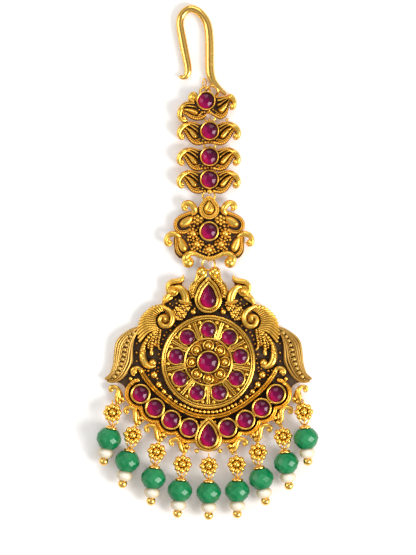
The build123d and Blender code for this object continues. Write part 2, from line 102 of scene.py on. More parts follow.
def smooth(points, steps=6, closed=False):
    """A smooth line through the points (Catmull-Rom); extra columns, such as widths, are carried."""
    p = np.array(points, float)
    if closed:
        p = np.vstack([p[-1], p, p[0], p[1]])
    else:
        p = np.vstack([2 * p[0] - p[1], p, 2 * p[-1] - p[-2]])
    t = (np.arange(steps) / steps)[:, None]
    spans = []
    for a, b, c, d in zip(p, p[1:], p[2:], p[3:]):
        spans.append(0.5 * (2 * b + (c - a) * t + (2 * a - 5 * b + 4 * c - d) * t ** 2
                            + (3 * b - a - 3 * c + d) * t ** 3))
    line = np.vstack(spans)
    return line if closed else np.vstack([line, p[-2]])


def measured(line):
    """The line as an array, and how far along it each of its points is."""
    line = np.array(line, float)
    lengths = np.linalg.norm(np.diff(line[:, :2], axis=0), axis=1)
    return line, np.concatenate([[0], np.cumsum(lengths)])


def resampled(line, count):
    """The line as a given number of evenly spaced points."""
    line, along = measured(line)
    at = np.linspace(0, along[-1], count)
    return np.stack([np.interp(at, along, column) for column in line.T], axis=1)


def evenly(line, spacing):
    """The line as points at about the given spacing."""
    _, along = measured(line)
    return resampled(line, max(2, int(round(along[-1] / spacing)) + 1))


def unit(rows):
    """Each row of an array made one unit long."""
    return rows / np.maximum(np.linalg.norm(rows, axis=1, keepdims=True), 1e-9)


def beside(line, distance):
    """The flat line moved to its left by one distance, or by one for each point."""
    way = unit(np.gradient(line[:, :2], axis=0))
    return line[:, :2] + np.stack([-way[:, 1], way[:, 0]], axis=1) * np.reshape(distance, (-1, 1))


def anticlockwise(loop):
    """The closed outline turned, if need be, to run anticlockwise."""
    x, y = np.asarray(loop).T
    area = 0.5 * np.sum(x * np.roll(y, -1) - y * np.roll(x, -1))
    return loop if area > 0 else loop[::-1]


def offset(loop, distance):
    """A closed loop moved outwards (it runs anticlockwise)."""
    before = unit(loop - np.roll(loop, 1, axis=0))
    after = unit(np.roll(loop, -1, axis=0) - loop)
    tangent = unit(before + after)
    normal = np.stack([tangent[:, 1], -tangent[:, 0]], axis=1)
    bend = np.clip(np.sum(before * after, axis=1), -0.4, 1)
    return loop + normal * distance / np.sqrt((1 + bend) / 2)[:, None]


def arc_points(x, y, radius, turn):
    """Points round (x, y) at the given angles."""
    return np.stack([x + radius * np.cos(turn), y + radius * np.sin(turn)], axis=1)


def circle_loop(x, y, radius, count):
    return arc_points(x, y, radius, np.arange(count) * 2 * pi / count)


def teardrop_loop(x, y, radius, tip, belly=0.12):
    """Outline of a teardrop: round end about (x, y), point at (x, y + tip), sides slightly full."""
    spread = atan2((tip ** 2 - radius ** 2) ** 0.5, radius)
    start = pi / 2 + spread
    turn = np.linspace(start, start + 2 * (pi - spread), 40)
    arc = arc_points(0, 0, radius, turn)
    t = np.linspace(0, 1, 12)[1:-1, None]
    right = arc[-1] * (1 - t) + np.array([0, tip]) * t
    full = belly * radius * np.sin(pi * t) * np.array([1, 0.5])
    left = (right + full)[::-1] * [-1, 1]
    return np.vstack([arc, right + full, [[0, tip]], left]) + [x, y]


def on_circle(count, radius, start=90):
    """Places evenly round a circle, clockwise, with the angle of each in radians."""
    angles = [radians(start - i * 360 / count) for i in range(count)]
    return [(radius * cos(a), radius * sin(a), a) for a in angles]


def ray(angle):
    """Unit vectors outwards at an angle and to the left of that."""
    out = np.array([cos(angle), sin(angle)])
    return out, np.array([-out[1], out[0]])


def arc_across(angle, circle, radius, spread, count):
    """An arc about a place on a circle, open towards the middle; it spans spread degrees each way."""
    out, side = ray(angle)
    turn = np.radians(np.linspace(-spread, spread, count))
    return [out * (circle + radius * cos(t)) + side * radius * sin(t) for t in turn]


class Relief:
    """Collects the surfaces of one piece, with how much patina and painted shade each point has, from 0 to
    1.
    """

    def __init__(self, ground=0.0, fade=0.8, patina=0.0):
        self.points, self.quads, self.polygons, self.tarnish = [], [], [], []
        self.count = 0
        self.ground = ground
        self.fade = fade
        self.patina = patina

    def add(self, points, quads=(), polygons=(), tarnish=None, low=None):
        """Add a surface; low says how far down the side of its ball or wire each point is, which marks it
        darker as painted shade.
        """
        points = np.asarray(points, float).reshape(-1, 3)
        if tarnish is None:
            height = np.clip((points[:, 2] - self.ground) / self.fade, 0, 1)
            tarnish = 1 - height ** 0.8
            if low is not None:
                tarnish = np.maximum(tarnish * 0.75, low.reshape(-1))
            tarnish = np.minimum(tarnish + self.patina, 1)
        self.points.append(points)
        self.tarnish.append(np.broadcast_to(np.asarray(tarnish, float), (len(points),)))
        if len(quads):
            self.quads.append(np.asarray(quads) + self.count)
        self.polygons += [[i + self.count for i in polygon] for polygon in polygons]
        self.count += len(points)

    def ball(self, x, y, z, radius, seg=12, rings=8):
        polar = np.linspace(-pi / 2, pi / 2, rings + 1)[:, None]
        turn = np.arange(seg)[None, :] * 2 * pi / seg
        p = np.stack([x + radius * np.cos(polar) * np.cos(turn), y + radius * np.cos(polar) * np.sin(turn),
                      z + radius * np.sin(polar) + 0 * turn], axis=-1)
        # painted shade: the sides and underside of the ball are marked darker
        low = np.clip(0.4 - np.sin(polar) / 0.8, 0, 0.6) + 0 * turn
        self.add(p, grid_faces(rings + 1, seg, True), low=low)

    def tube(self, line, sides=10, closed=False, lift=1.0):
        """A round wire along (x, y, z, radius) points; lift makes it taller or flatter than wide."""
        line = np.array(line, float)
        centre, radius = line[:, :3], line[:, 3]
        ahead = np.roll(centre, -1, axis=0) - centre
        behind = centre - np.roll(centre, 1, axis=0)
        if not closed:
            ahead[-1], behind[0] = behind[-1], ahead[0]
        tangent = unit(ahead + behind)
        if not closed:
            bend = np.array([0, 0.35, 0.7, 0.92])
            start = [centre[0] - tangent[0] * radius[0] * (1 - b) for b in bend]
            end = [centre[-1] + tangent[-1] * radius[-1] * (1 - b) for b in bend[::-1]]
            round_off = np.sqrt(1 - (1 - bend) ** 2)
            radius = np.concatenate([radius[0] * round_off, radius, radius[-1] * round_off[::-1]])
            tangent = np.vstack([[tangent[0]] * 4, tangent, [tangent[-1]] * 4])
            centre = np.vstack([start, centre, end])
        side = unit(np.cross([0.0, 0.0, 1.0], tangent))
        rise = np.cross(tangent, side)
        turn = np.arange(sides) * 2 * pi / sides
        p = (centre[:, None] + radius[:, None, None] * (np.cos(turn)[None, :, None] * side[:, None]
             + lift * np.sin(turn)[None, :, None] * rise[:, None]))
        rows = len(centre)
        if closed:
            p = np.vstack([p, p[:1]])
            rows += 1
        # painted shade: the sides and underside of the wire are marked darker
        low = np.clip(0.35 - np.sin(turn) / 0.9, 0, 0.6)[None, :] + np.zeros((rows, 1))
        self.add(p, grid_faces(rows, sides, True), low=low)

    def level_wire(self, line, z, radius, sides=8, closed=False, lift=1.0):
        """A wire of one height and thickness along a flat line."""
        line = np.asarray(line)
        rest = np.tile([z, radius], (len(line), 1))
        self.tube(np.hstack([line[:, :2], rest]), sides, closed, lift)

    def wire(self, points, z, radius, steps=6, lift=1.0):
        """A wire of one height and thickness along a smooth flat line."""
        self.level_wire(smooth(points, steps), z, radius, 10, lift=lift)

    def ring(self, x, y, z, radius, wire, seg=40, sides=8, lift=1.0):
        self.level_wire(circle_loop(x, y, radius, seg), z, wire, sides, True, lift)

    def loop_in_plane(self, centre, along, across, wide, tall, wire, seg=28, sides=8):
        """An oval wire loop in the plane of two directions."""
        along, across = np.array(along, float), np.array(across, float)
        normal = np.cross(along, across)
        turn = np.arange(seg + 1) * 2 * pi / seg
        out = np.cos(turn)[:, None] * along * wide + np.sin(turn)[:, None] * across * tall
        around = np.arange(sides) * 2 * pi / sides
        p = (np.array(centre) + out)[:, None] + wire * (
            np.cos(around)[None, :, None] * unit(out)[:, None] + np.sin(around)[None, :, None] * normal)
        self.add(p, grid_faces(seg + 1, sides, True)[:, ::-1], tarnish=0.12)

    def granules(self, line, radius, spacing, z, seg=10, rings=6, taper=1.0):
        """Balls along a line, shrinking to `taper` of their size at its end."""
        places = evenly(line, spacing)
        for share, place in zip(np.linspace(1, taper, len(places)), places):
            self.ball(place[0], place[1], z, radius * share, seg, rings)

    def band(self, loop, profile, tarnish=None):
        """A closed loop swept with a profile of (offset outwards, height) rows."""
        rows = [np.column_stack([offset(loop, out), np.full(len(loop), z)]) for out, z in profile]
        if tarnish is not None:
            tarnish = np.repeat(tarnish, len(loop))
        self.add(np.stack(rows), grid_faces(len(rows), len(loop), True), tarnish=tarnish)

    def plate(self, loop, low, high, bevel=0.15, top=None):
        """A solid plate with a bevelled upper edge; top is the patina and painted shade of its upper face.
        """
        n = len(loop)
        self.add(np.column_stack([loop, np.full(n, low)]), polygons=[list(range(n))[::-1]], tarnish=0.3)
        self.band(loop, [(0, low), (0, high - bevel), (-bevel * 0.3, high - bevel * 0.3), (-bevel, high)],
                  (0.3, 0.3, 0.3, 0.3 if top is None else top))
        inner = offset(loop, -bevel)
        self.add(np.column_stack([inner, np.full(n, high)]), polygons=[list(range(n))], tarnish=top)

    def lathe(self, x, y, profile, seg=40, tarnish=None):
        """A turned shape from (radius, height) rows, from the bottom outside to the top inside."""
        turn = np.arange(seg) * 2 * pi / seg
        rows = [np.stack([x + r * np.cos(turn), y + r * np.sin(turn), np.full(seg, z)], axis=1)
                for r, z in profile]
        self.add(np.stack(rows), grid_faces(len(rows), seg, True), tarnish=tarnish)

    def dome(self, loop, spine, low, height, tarnish=None):
        """A puffed pad over a closed outline, highest along its spine."""
        loop, spine = np.array(loop, float), np.array(spine, float)
        fine = resampled(spine, 24) if len(spine) > 1 else spine
        near = fine[np.argmin(np.linalg.norm(loop[:, None] - fine[None], axis=2), axis=1)]
        rows = [np.column_stack([loop, np.full(len(loop), low - 0.5)])]
        for t in np.linspace(0, 1, 7):
            rise = height * (1 - (1 - t) ** 2) ** 0.55
            rows.append(np.column_stack([loop * (1 - t) + near * t, np.full(len(loop), low + rise)]))
        self.add(np.stack(rows), grid_faces(len(rows), len(loop), True), tarnish=tarnish)

    def mirrored(self, other):
        """Add another relief and its mirror image across the middle line."""
        self.merge(other)
        self.merge(other, flip=True)

    def merge(self, other, flip=False, move=(0, 0, 0), turn=0.0):
        """Add another relief, mirrored, turned about Z (degrees) and moved."""
        base = self.count
        for p, t in zip(other.points, other.tarnish):
            p = p.copy()
            if flip:
                p[:, 0] *= -1
            if turn:
                a = radians(turn)
                p = p @ np.array([[cos(a), sin(a), 0], [-sin(a), cos(a), 0], [0, 0, 1]])
            self.points.append(p + np.array(move))
            self.tarnish.append(t)
            self.count += len(p)
        self.quads += [(q[:, ::-1] if flip else q) + base for q in other.quads]
        self.polygons += [[i + base for i in (p[::-1] if flip else p)] for p in other.polygons]

    def build(self, name, finish, *nodes, flat=False):
        """Make the Blender object in the material of a finish (the finish's slot name is not used), and
        hide the CAD nodes it stands in for.
        """
        material, slot = finish
        points = np.vstack(self.points) * MM
        faces = np.vstack(self.quads).tolist() if self.quads else []
        mesh = bpy.data.meshes.new(name)
        mesh.from_pydata(points.tolist(), [], faces + self.polygons)
        layer = mesh.attributes.new("tarnish", "FLOAT", "POINT")
        layer.data.foreach_set("value", np.concatenate(self.tarnish).astype(np.float32))
        obj = bpy.data.objects.new(name, mesh)
        bpy.context.scene.collection.objects.link(obj)
        tidy_mesh(mesh)
        shaded_smooth = [not flat and face.loop_total <= 4 for face in mesh.polygons]
        mesh.polygons.foreach_set("use_smooth", shaded_smooth)
        if not flat:
            mesh.set_sharp_from_angle(angle=radians(SHARP_ANGLE))
        mesh.materials.append(material)
        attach(obj, "root")
        if nodes:
            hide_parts(*nodes)
        return obj


def tidy_mesh(mesh):
    """Merge points that coincide and drop faces that closed up."""
    same_point, no_length = 2e-7, 1e-7       # metres
    work = bmesh.new()
    work.from_mesh(mesh)
    bmesh.ops.remove_doubles(work, verts=work.verts, dist=same_point)
    bmesh.ops.dissolve_degenerate(work, edges=work.edges, dist=no_length)
    work.to_mesh(mesh)
    work.free()


# ---- materials ----------------------------------------------------------------------------
CREVICE_REACH = 0.8      # how far, in millimetres, a crevice looks for walls about it
GROUND_REACH = 2.0       # the same for the lowest ground
HOLLOW_START = 0.42      # how closed in a place is before patina gathers in it
LOWEST_START = 0.82      # tarnish from which a surface counts as lowest ground
WEAR_SCALE = 900         # noise features for each metre: blotches of wear, and grain of the metal
GRAIN_SCALE = 2600


def new_material(name):
    """A new material, its node tree and its shader."""
    material = bpy.data.materials.new(name)
    material.use_nodes = True
    tree = material.node_tree
    return material, tree, tree.nodes["Principled BSDF"]


def ramp(tree, stops, source):
    """A colour ramp over a value, from (place, colour) stops."""
    node = tree.nodes.new("ShaderNodeValToRGB")
    elements = node.color_ramp.elements
    while len(elements) < len(stops):
        elements.new(0.5)
    for element, (place, colour) in zip(elements, stops):
        element.position = place
        element.color = (*colour, 1)
    tree.links.new(source, node.inputs["Fac"])
    return node.outputs["Color"]


def feed(tree, socket, value):
    """Give a socket a number or another node's output."""
    if isinstance(value, (int, float)):
        socket.default_value = value
    else:
        tree.links.new(value, socket)


def set_inputs(node, values):
    """Set inputs of a node by name."""
    for name, value in values.items():
        node.inputs[name].default_value = value


def maths(tree, operation, first, second, clamp=False):
    node = tree.nodes.new("ShaderNodeMath")
    node.operation = operation
    node.use_clamp = clamp
    feed(tree, node.inputs[0], first)
    feed(tree, node.inputs[1], second)
    return node.outputs[0]


def beyond(tree, value, start, slope, clamp=False):
    """How far a value is above a start, times a slope."""
    return maths(tree, "MULTIPLY", maths(tree, "SUBTRACT", value, start), slope, clamp)


def noise(tree, scale, detail=3.0, rough=0.6, stretch=(1, 1, 1)):
    """Noise in the object's own space, drawn out along an axis whose stretch is under 1."""
    coordinates = tree.nodes.new("ShaderNodeTexCoord")
    scaled = tree.nodes.new("ShaderNodeVectorMath")
    scaled.operation = "MULTIPLY"
    scaled.inputs[1].default_value = stretch
    tree.links.new(coordinates.outputs["Object"], scaled.inputs[0])
    node = tree.nodes.new("ShaderNodeTexNoise")
    set_inputs(node, {"Scale": scale, "Detail": detail, "Roughness": rough})
    tree.links.new(scaled.outputs["Vector"], node.inputs["Vector"])
    return node.outputs["Fac"]


def bump(tree, shader, height, strength, distance):
    node = tree.nodes.new("ShaderNodeBump")
    set_inputs(node, {"Strength": strength, "Distance": distance})
    tree.links.new(height, node.inputs["Height"])
    tree.links.new(node.outputs["Normal"], shader.inputs["Normal"])


def openness(tree, reach):
    """How open the surroundings are, from 0 to 1, within a reach in millimetres."""
    node = tree.nodes.new("ShaderNodeAmbientOcclusion")
    node.samples = 6
    node.inputs["Distance"].default_value = reach * MM
    return node.outputs["AO"]


def multiplied(tree, colour, painted_shade, share):
    """The colour times a painted shade, mixed in by a share that is a number or a node's output."""
    mix = tree.nodes.new("ShaderNodeMix")
    mix.data_type = "RGBA"
    mix.blend_type = "MULTIPLY"
    feed(tree, mix.inputs["Factor"], share)
    tree.links.new(colour, mix.inputs["A"])
    tree.links.new(painted_shade, mix.inputs["B"])
    return mix.outputs["Result"]


def gold_material(name, bright, deep, roughness, patina_and_shade_weight, hollow_weight):
    """Gold with dark patina where the relief is low or closed in, painted shade in its crevices, on the
    sides of its balls and wires and about its lowest ground, and softly worn raised parts.
    """
    material, tree, shader = new_material(name)
    # patina in low places, and painted shade on the sides of balls and wires, as each surface was built
    attribute = tree.nodes.new("ShaderNodeAttribute")
    attribute.attribute_name = "tarnish"
    tarnish = attribute.outputs["Fac"]
    hollow = maths(tree, "SUBTRACT", 1.0, openness(tree, CREVICE_REACH))
    deeper = beyond(tree, hollow, HOLLOW_START, hollow_weight, clamp=True)
    soft = beyond(tree, noise(tree, WEAR_SCALE), 0.5, 0.3)
    amount = maths(tree, "ADD", maths(tree, "MULTIPLY", tarnish, patina_and_shade_weight), deeper)
    amount = maths(tree, "ADD", amount, soft, clamp=True)
    middle = tuple(0.6 * b + 0.4 * d for b, d in zip(bright, deep))
    colour = ramp(tree, [(0.0, bright), (0.3, middle), (0.52, deep), (0.66, (0.15, 0.05, 0.005)),
                         (0.8, (0.03, 0.013, 0.004)), (1.0, (0.09, 0.05, 0.025))], amount)
    # painted shade: the colour darkens towards black where the surroundings close in
    painted_shade = ramp(tree, [(0.0, (1, 1, 1)), (0.45, (1, 1, 1)), (0.78, (0.2, 0.13, 0.08)),
                        (1.0, (0.02, 0.01, 0.004))], hollow)
    colour_with_painted_shade = multiplied(tree, colour, painted_shade, hollow_weight)
    # painted shade: the lowest ground is darker still where the ornament about it stands close
    painted_contact_shade = ramp(tree, [(0.4, (0.1, 0.08, 0.06)), (0.78, (1, 1, 1))], openness(tree, GROUND_REACH))
    lowest = beyond(tree, tarnish, LOWEST_START, 7.0, clamp=True)
    tree.links.new(multiplied(tree, colour_with_painted_shade, painted_contact_shade, lowest), shader.inputs["Base Color"])
    metal = ramp(tree, [(0.0, (1, 1, 1)), (0.5, (0.95, 0.95, 0.95)), (0.74, (0.05, 0.05, 0.05)),
                        (1.0, (0, 0, 0))], amount)
    tree.links.new(metal, shader.inputs["Metallic"])
    rough = ramp(tree, [(0.0, (roughness,) * 3), (0.2, (0.5,) * 3), (1.0, (0.75,) * 3)], amount)
    tree.links.new(rough, shader.inputs["Roughness"])
    shader.inputs["Specular IOR Level"].default_value = 0.3
    bump(tree, shader, noise(tree, GRAIN_SCALE, 2.0), 0.25, 0.00005)
    return material


def directional(tree, x, y, z, contrast):
    """How much the surface faces a fixed direction in space, from 0 to 1."""
    geometry = tree.nodes.new("ShaderNodeNewGeometry")
    product = tree.nodes.new("ShaderNodeVectorMath")
    product.operation = "DOT_PRODUCT"
    product.inputs[1].default_value = (x, y, z)
    tree.links.new(geometry.outputs["Normal"], product.inputs[0])
    return maths(tree, "ADD", maths(tree, "MULTIPLY", product.outputs["Value"], contrast), 0.5, clamp=True)


def ruby_material():
    """Deep red stone with painted light: painted plum where it faces the upper right, towards the light,
    and a painted pink-red glow on the far side.
    """
    material, tree, shader = new_material("ruby")
    # painted light: how far each facet faces the upper right sets its colour
    painted_light = directional(tree, 0.85, 0.5, 0.0, 0.9)
    veil = beyond(tree, noise(tree, 600, 2.0), 0.5, 0.7)
    amount = maths(tree, "ADD", painted_light, veil, clamp=True)
    colour = ramp(tree, [(0.0, (0.52, 0.001, 0.085)), (0.2, (0.32, 0.001, 0.075)),
                         (0.42, (0.17, 0.001, 0.045)), (0.65, (0.10, 0.002, 0.03)),
                         (1.0, (0.04, 0.002, 0.012))], amount)
    tree.links.new(colour, shader.inputs["Base Color"])
    set_inputs(shader,
               {"Roughness": 0.14, "Specular IOR Level": 0.32, "Specular Tint": (1.0, 0.75, 0.85, 1)})
    return material


def green_material():
    """Translucent green stone, painted lighter in its middle where facets face up and painted darker where
    facets turn away: painted light and shade.
    """
    material, tree, shader = new_material("green_stone")
    # painted light and shade: each facet's colour set by how far it faces up
    painted_light = directional(tree, -0.3, 0.2, 0.9, 0.5)
    veil = beyond(tree, noise(tree, 520, 3.0, 0.6, (1, 0.3, 1)), 0.5, 0.9)
    amount = maths(tree, "ADD", painted_light, veil, clamp=True)
    colour = ramp(tree, [(0.0, (0.002, 0.054, 0.013)), (0.4, (0.0035, 0.118, 0.036)),
                         (0.72, (0.006, 0.187, 0.06)), (1.0, (0.034, 0.28, 0.104))], amount)
    tree.links.new(colour, shader.inputs["Base Color"])
    set_inputs(shader, {"Roughness": 0.1, "Specular IOR Level": 0.22, "Subsurface Weight": 0.1,
                        "Subsurface Radius": (0.4, 1.0, 0.7), "Subsurface Scale": 0.001})
    return material


def pearl_material():
    """Cream pearl with a soft sheen, painted cream where it faces up and painted tan towards its sides, as
    painted shade and painted reflection of the gold about it.
    """
    material, tree, shader = new_material("pearl")
    cloud = noise(tree, 500, 3.0)
    # painted shade and painted reflection: tan where the surface turns sideways, cream where it faces up
    painted_light = directional(tree, 0.0, 0.0, 1.0, 0.5)
    amount = maths(tree, "ADD", painted_light, beyond(tree, cloud, 0.5, 0.2))
    colour = ramp(tree, [(0.5, (0.50, 0.31, 0.10)), (0.72, (0.70, 0.54, 0.30)), (0.9, (0.80, 0.71, 0.54)),
                         (1.0, (0.88, 0.82, 0.70))], amount)
    tree.links.new(colour, shader.inputs["Base Color"])
    set_inputs(shader, {"Roughness": 0.28, "Subsurface Weight": 0.15, "Subsurface Radius": (1.0, 0.7, 0.5),
                        "Subsurface Scale": 0.001, "Coat Weight": 0.6, "Coat Roughness": 0.15})
    bump(tree, shader, cloud, 0.1, 0.0001)
    return material


# finishes: a material and the name of its slot
ANTIQUE = (gold_material("antique_gold", (1.0, 0.63, 0.115), (0.68, 0.26, 0.012), 0.24, 1.0, 0.9),
           "antique_gold")
# the antique gold made darker and a little rougher for the side leaves; its darker colour is painted shade
SHADED_GOLD = (gold_material("shaded_antique_gold", (0.82, 0.54, 0.15), (0.46, 0.235, 0.038), 0.3, 1.0, 0.9), "antique_gold")
POLISHED = (gold_material("polished_gold", (1.0, 0.61, 0.15), (0.75, 0.34, 0.04), 0.22, 0.0, 0.4),
            "polished_gold")
RUBY = (ruby_material(), "ruby")
GREEN = (green_material(), "green_stone")
PEARL = (pearl_material(), "pearl")


# ---- settings and stones ------------------------------------------------------------------
def bezel(relief, x, y, stone, low, top, wall):
    """A round setting: outer wall, rounded lip, and a seat inside for the stone."""
    relief.lathe(x, y, [(stone + wall, low), (stone + wall, top - 0.35), (stone + wall * 0.92, top - 0.12),
                        (stone + wall * 0.62, top), (stone + wall * 0.3, top - 0.05),
                        (stone + 0.04, top - 0.22), (stone - 0.02, top - 0.5), (stone - 0.02, low)])


def teardrop_bezel(relief, x, y, stone, tip, low, top):
    """A setting of two teardrop wires about a sunk groove."""
    loop = teardrop_loop(x, y, stone, tip)
    relief.band(loop, [(1.45, low), (1.45, top - 0.75), (1.38, top - 0.5), (1.15, top - 0.38),
                       (0.92, top - 0.5), (0.80, top - 0.75), (0.70, top - 0.42), (0.60, top - 0.1),
                       (0.40, top), (0.18, top - 0.1), (0.05, top - 0.3), (-0.03, top - 0.6), (-0.03, low)])


def cut_cabochon(relief, x, y, stone, low, top, turn):
    """A round cut stone: a smooth girdle, two rows of broad facets and a small table."""
    facets = 8
    place = np.arange(3 * facets) / 3
    rows = []
    for radius, height in ((1.0, 0.0), (1.0, 0.42), (0.80, 0.74), (0.42, 0.95), (0.001, 1.0)):
        corner = place if radius == 1 else np.round(place)
        around = corner * 2 * pi / facets + turn
        rows.append(np.column_stack([arc_points(x, y, stone * radius, around),
                                     np.full(3 * facets, low + (top - low) * height)]))
    relief.add(np.stack(rows), grid_faces(len(rows), 3 * facets, True), tarnish=0)


def rubies(name, node, stones):
    """Round stones, each (x, y, radius, low, top, turn), as one piece."""
    relief = Relief()
    for stone in stones:
        cut_cabochon(relief, *stone)
    relief.build(name, RUBY, node, flat=True)


def teardrop_stone(relief, x, y, stone, tip, low, top):
    """A smooth domed teardrop, highest a little above its round middle."""
    loop = teardrop_loop(x, y, stone - STONE_PLAY, tip - 0.05)
    relief.add(np.column_stack([loop, np.full(len(loop), low)]), polygons=[list(range(len(loop)))[::-1]],
               tarnish=0)
    centre = np.array([x, y + tip * 0.12])
    rows = []
    for share, height in ((0, 0.0), (0, 0.45), (0.16, 0.72), (0.42, 0.9), (0.72, 0.985), (1, 1.0)):
        flat = loop * (1 - share) + centre * share
        rows.append(np.column_stack([flat, np.full(len(loop), low + (top - low) * height)]))
    relief.add(np.stack(rows), grid_faces(len(rows), len(loop), True), tarnish=0)


# ---- pendant ------------------------------------------------------------------------------
def back_outline():
    """Outline of the pendant's back plate: the left half from the top down, and its mirror image."""
    half = np.array([(0, 20.7), (-1.0, 21.3), (-1.9, 20.9), (-2.9, 20.1), (-3.9, 19.1), (-4.55, 18.1),
                     (-4.95, 17.75), (-5.4, 18.1), (-6.4, 18.9), (-6.5, 19.6), (-6.15, 20.0), (-5.95, 20.8),
                     (-6.35, 21.1), (-7.1, 20.75), (-8.4, 20.6), (-9.7, 20.05), (-10.4, 19.1),
                     (-10.5, 18.0), (-10.5, 16.8), (-11.25, 15.7), (-11.6, 14.6), (-11.9, 13.95),
                     (-13.2, 13.8), (-14.3, 13.3), (-15.2, 12.5), (-16.2, 11.5), (-16.8, 10.4),
                     (-17.2, 9.1), (-17.7, 8.4), (-18.9, 8.0), (-20.4, 7.2), (-21.6, 6.2), (-22.6, 5.2),
                     (-23.0, 4.0), (-23.2, 2.0), (-23.3, 0.1), (-23.6, -1.4), (-24.1, -2.8), (-25.0, -4.0),
                     (-24.3, -4.9), (-23.2, -5.1), (-22.1, -5.3), (-21.2, -5.9), (-20.5, -7.0),
                     (-20.5, -8.6), (-19.8, -10.2), (-18.6, -11.2), (-17.2, -11.6), (-16.9, -12.6),
                     (-15.9, -13.9), (-14.4, -14.9), (-13.0, -15.0), (-12.5, -16.0), (-11.4, -17.2),
                     (-9.9, -17.9), (-8.4, -17.9), (-7.7, -18.3), (-7.2, -19.0), (-6.0, -19.8),
                     (-4.4, -20.0), (-3.3, -20.4), (-2.9, -21.2), (-1.9, -22.1), (0, -22.5)])
    return np.vstack([half, (half[1:-1] * [-1, 1])[::-1]])


def pendant_plate():
    """Dark flat back plate that all of the pendant's relief stands on."""
    relief = Relief()
    relief.plate(back_outline(), 0, GROUND, top=1.0)
    return relief


def horseshoe(relief, angle, z):
    """A wire round a stone of the medallion whose two ends run straight on towards the centre."""
    wire, legs = 0.26, 1.62
    out, side = ray(angle)
    arc = arc_across(angle, MEDALLION_STONE_CIRCLE, MEDALLION_STONE + wire, 128, 30)
    foot = out * DIVIDER_START
    relief.level_wire([foot - side * legs, *arc, foot + side * legs], z, wire, lift=1.3)


def medallion():
    """Ringed disc of nine stones between wire dividers, and the flower about the centre stone."""
    relief = Relief(MEDALLION_GROUND - 0.25, 0.75)
    floor = MEDALLION_GROUND
    relief.lathe(0, 0, [(MEDALLION_EDGE, GROUND - 0.3), (MEDALLION_EDGE, floor - 0.1),
                        (MEDALLION_EDGE - 0.2, floor), (INNER_RING, floor)], 96, tarnish=0.42)
    relief.lathe(0, 0, [(INNER_RING, floor), (0.01, floor)], 96, tarnish=0.75)
    relief.ring(0, 0, floor + 0.3, OUTER_WIRE, 0.33, 120, 12, 1.5)
    relief.ring(0, 0, floor + 0.25, SECOND_WIRE, 0.22, 120, 10, 1.5)
    relief.ring(0, 0, floor + 0.5, INNER_RING, 0.29, 96, 10, 1.5)
    bezel(relief, 0, 0, CENTRE_STONE, floor - 0.3, 3.6, 0.5)
    for x, y, angle in on_circle(PETALS, PETAL_CIRCLE):
        petal = arc_across(angle, PETAL_CIRCLE, PETAL_RADIUS, 140, 22)
        relief.level_wire(petal, floor + 0.42, 0.2, 10, lift=1.4)
        relief.lathe(x, y, [(1.15, floor + 0.0), (1.1, floor + 0.3), (0.1, floor + 0.35)], 20, tarnish=0.3)
        relief.ball(x, y, floor + 0.5, 0.84, 20, 14)
    for x, y, _ in on_circle(PETALS, PETAL_GAPS, 90 + 180 / PETALS):
        relief.ball(x, y, floor + 0.05, 0.24)
    for x, y, angle in on_circle(MEDALLION_STONES, MEDALLION_STONE_CIRCLE):
        outer, inner = MEDALLION_STONE + 0.2, MEDALLION_STONE - 0.02
        relief.lathe(x, y, [(outer, floor - 0.2), (outer, floor + 0.35), (inner, floor + 0.4),
                            (inner, floor - 0.2)], 40, tarnish=0.35)
        horseshoe(relief, angle, floor + 0.6)
    for _, _, angle in on_circle(MEDALLION_STONES, 1, 90 + 180 / MEDALLION_STONES):
        out, side = ray(angle)
        for shift in (-1, 1):
            foot = out * DIVIDER_START + side * shift * 0.18
            knee = out * 8.3 + side * shift * 0.21
            head = out * 10.3 + side * shift * 0.26
            relief.wire([foot, knee, head], floor + 0.5, 0.21, 5, lift=1.5)
            place = out * 9.95 + side * shift * 1.35
            relief.ball(place[0], place[1], floor + 0.4, 0.5, 16, 10)
            for along, across, size in ((10.4, 0.72, 0.2), (10.5, 2.0, 0.2), (10.3, 2.6, 0.16),
                                        (9.2, 1.15, 0.16)):
                bit = out * along * cos(across * 0.06) + side * shift * across
                relief.ball(bit[0], bit[1], floor + 0.08, size, 8, 6)
    return relief


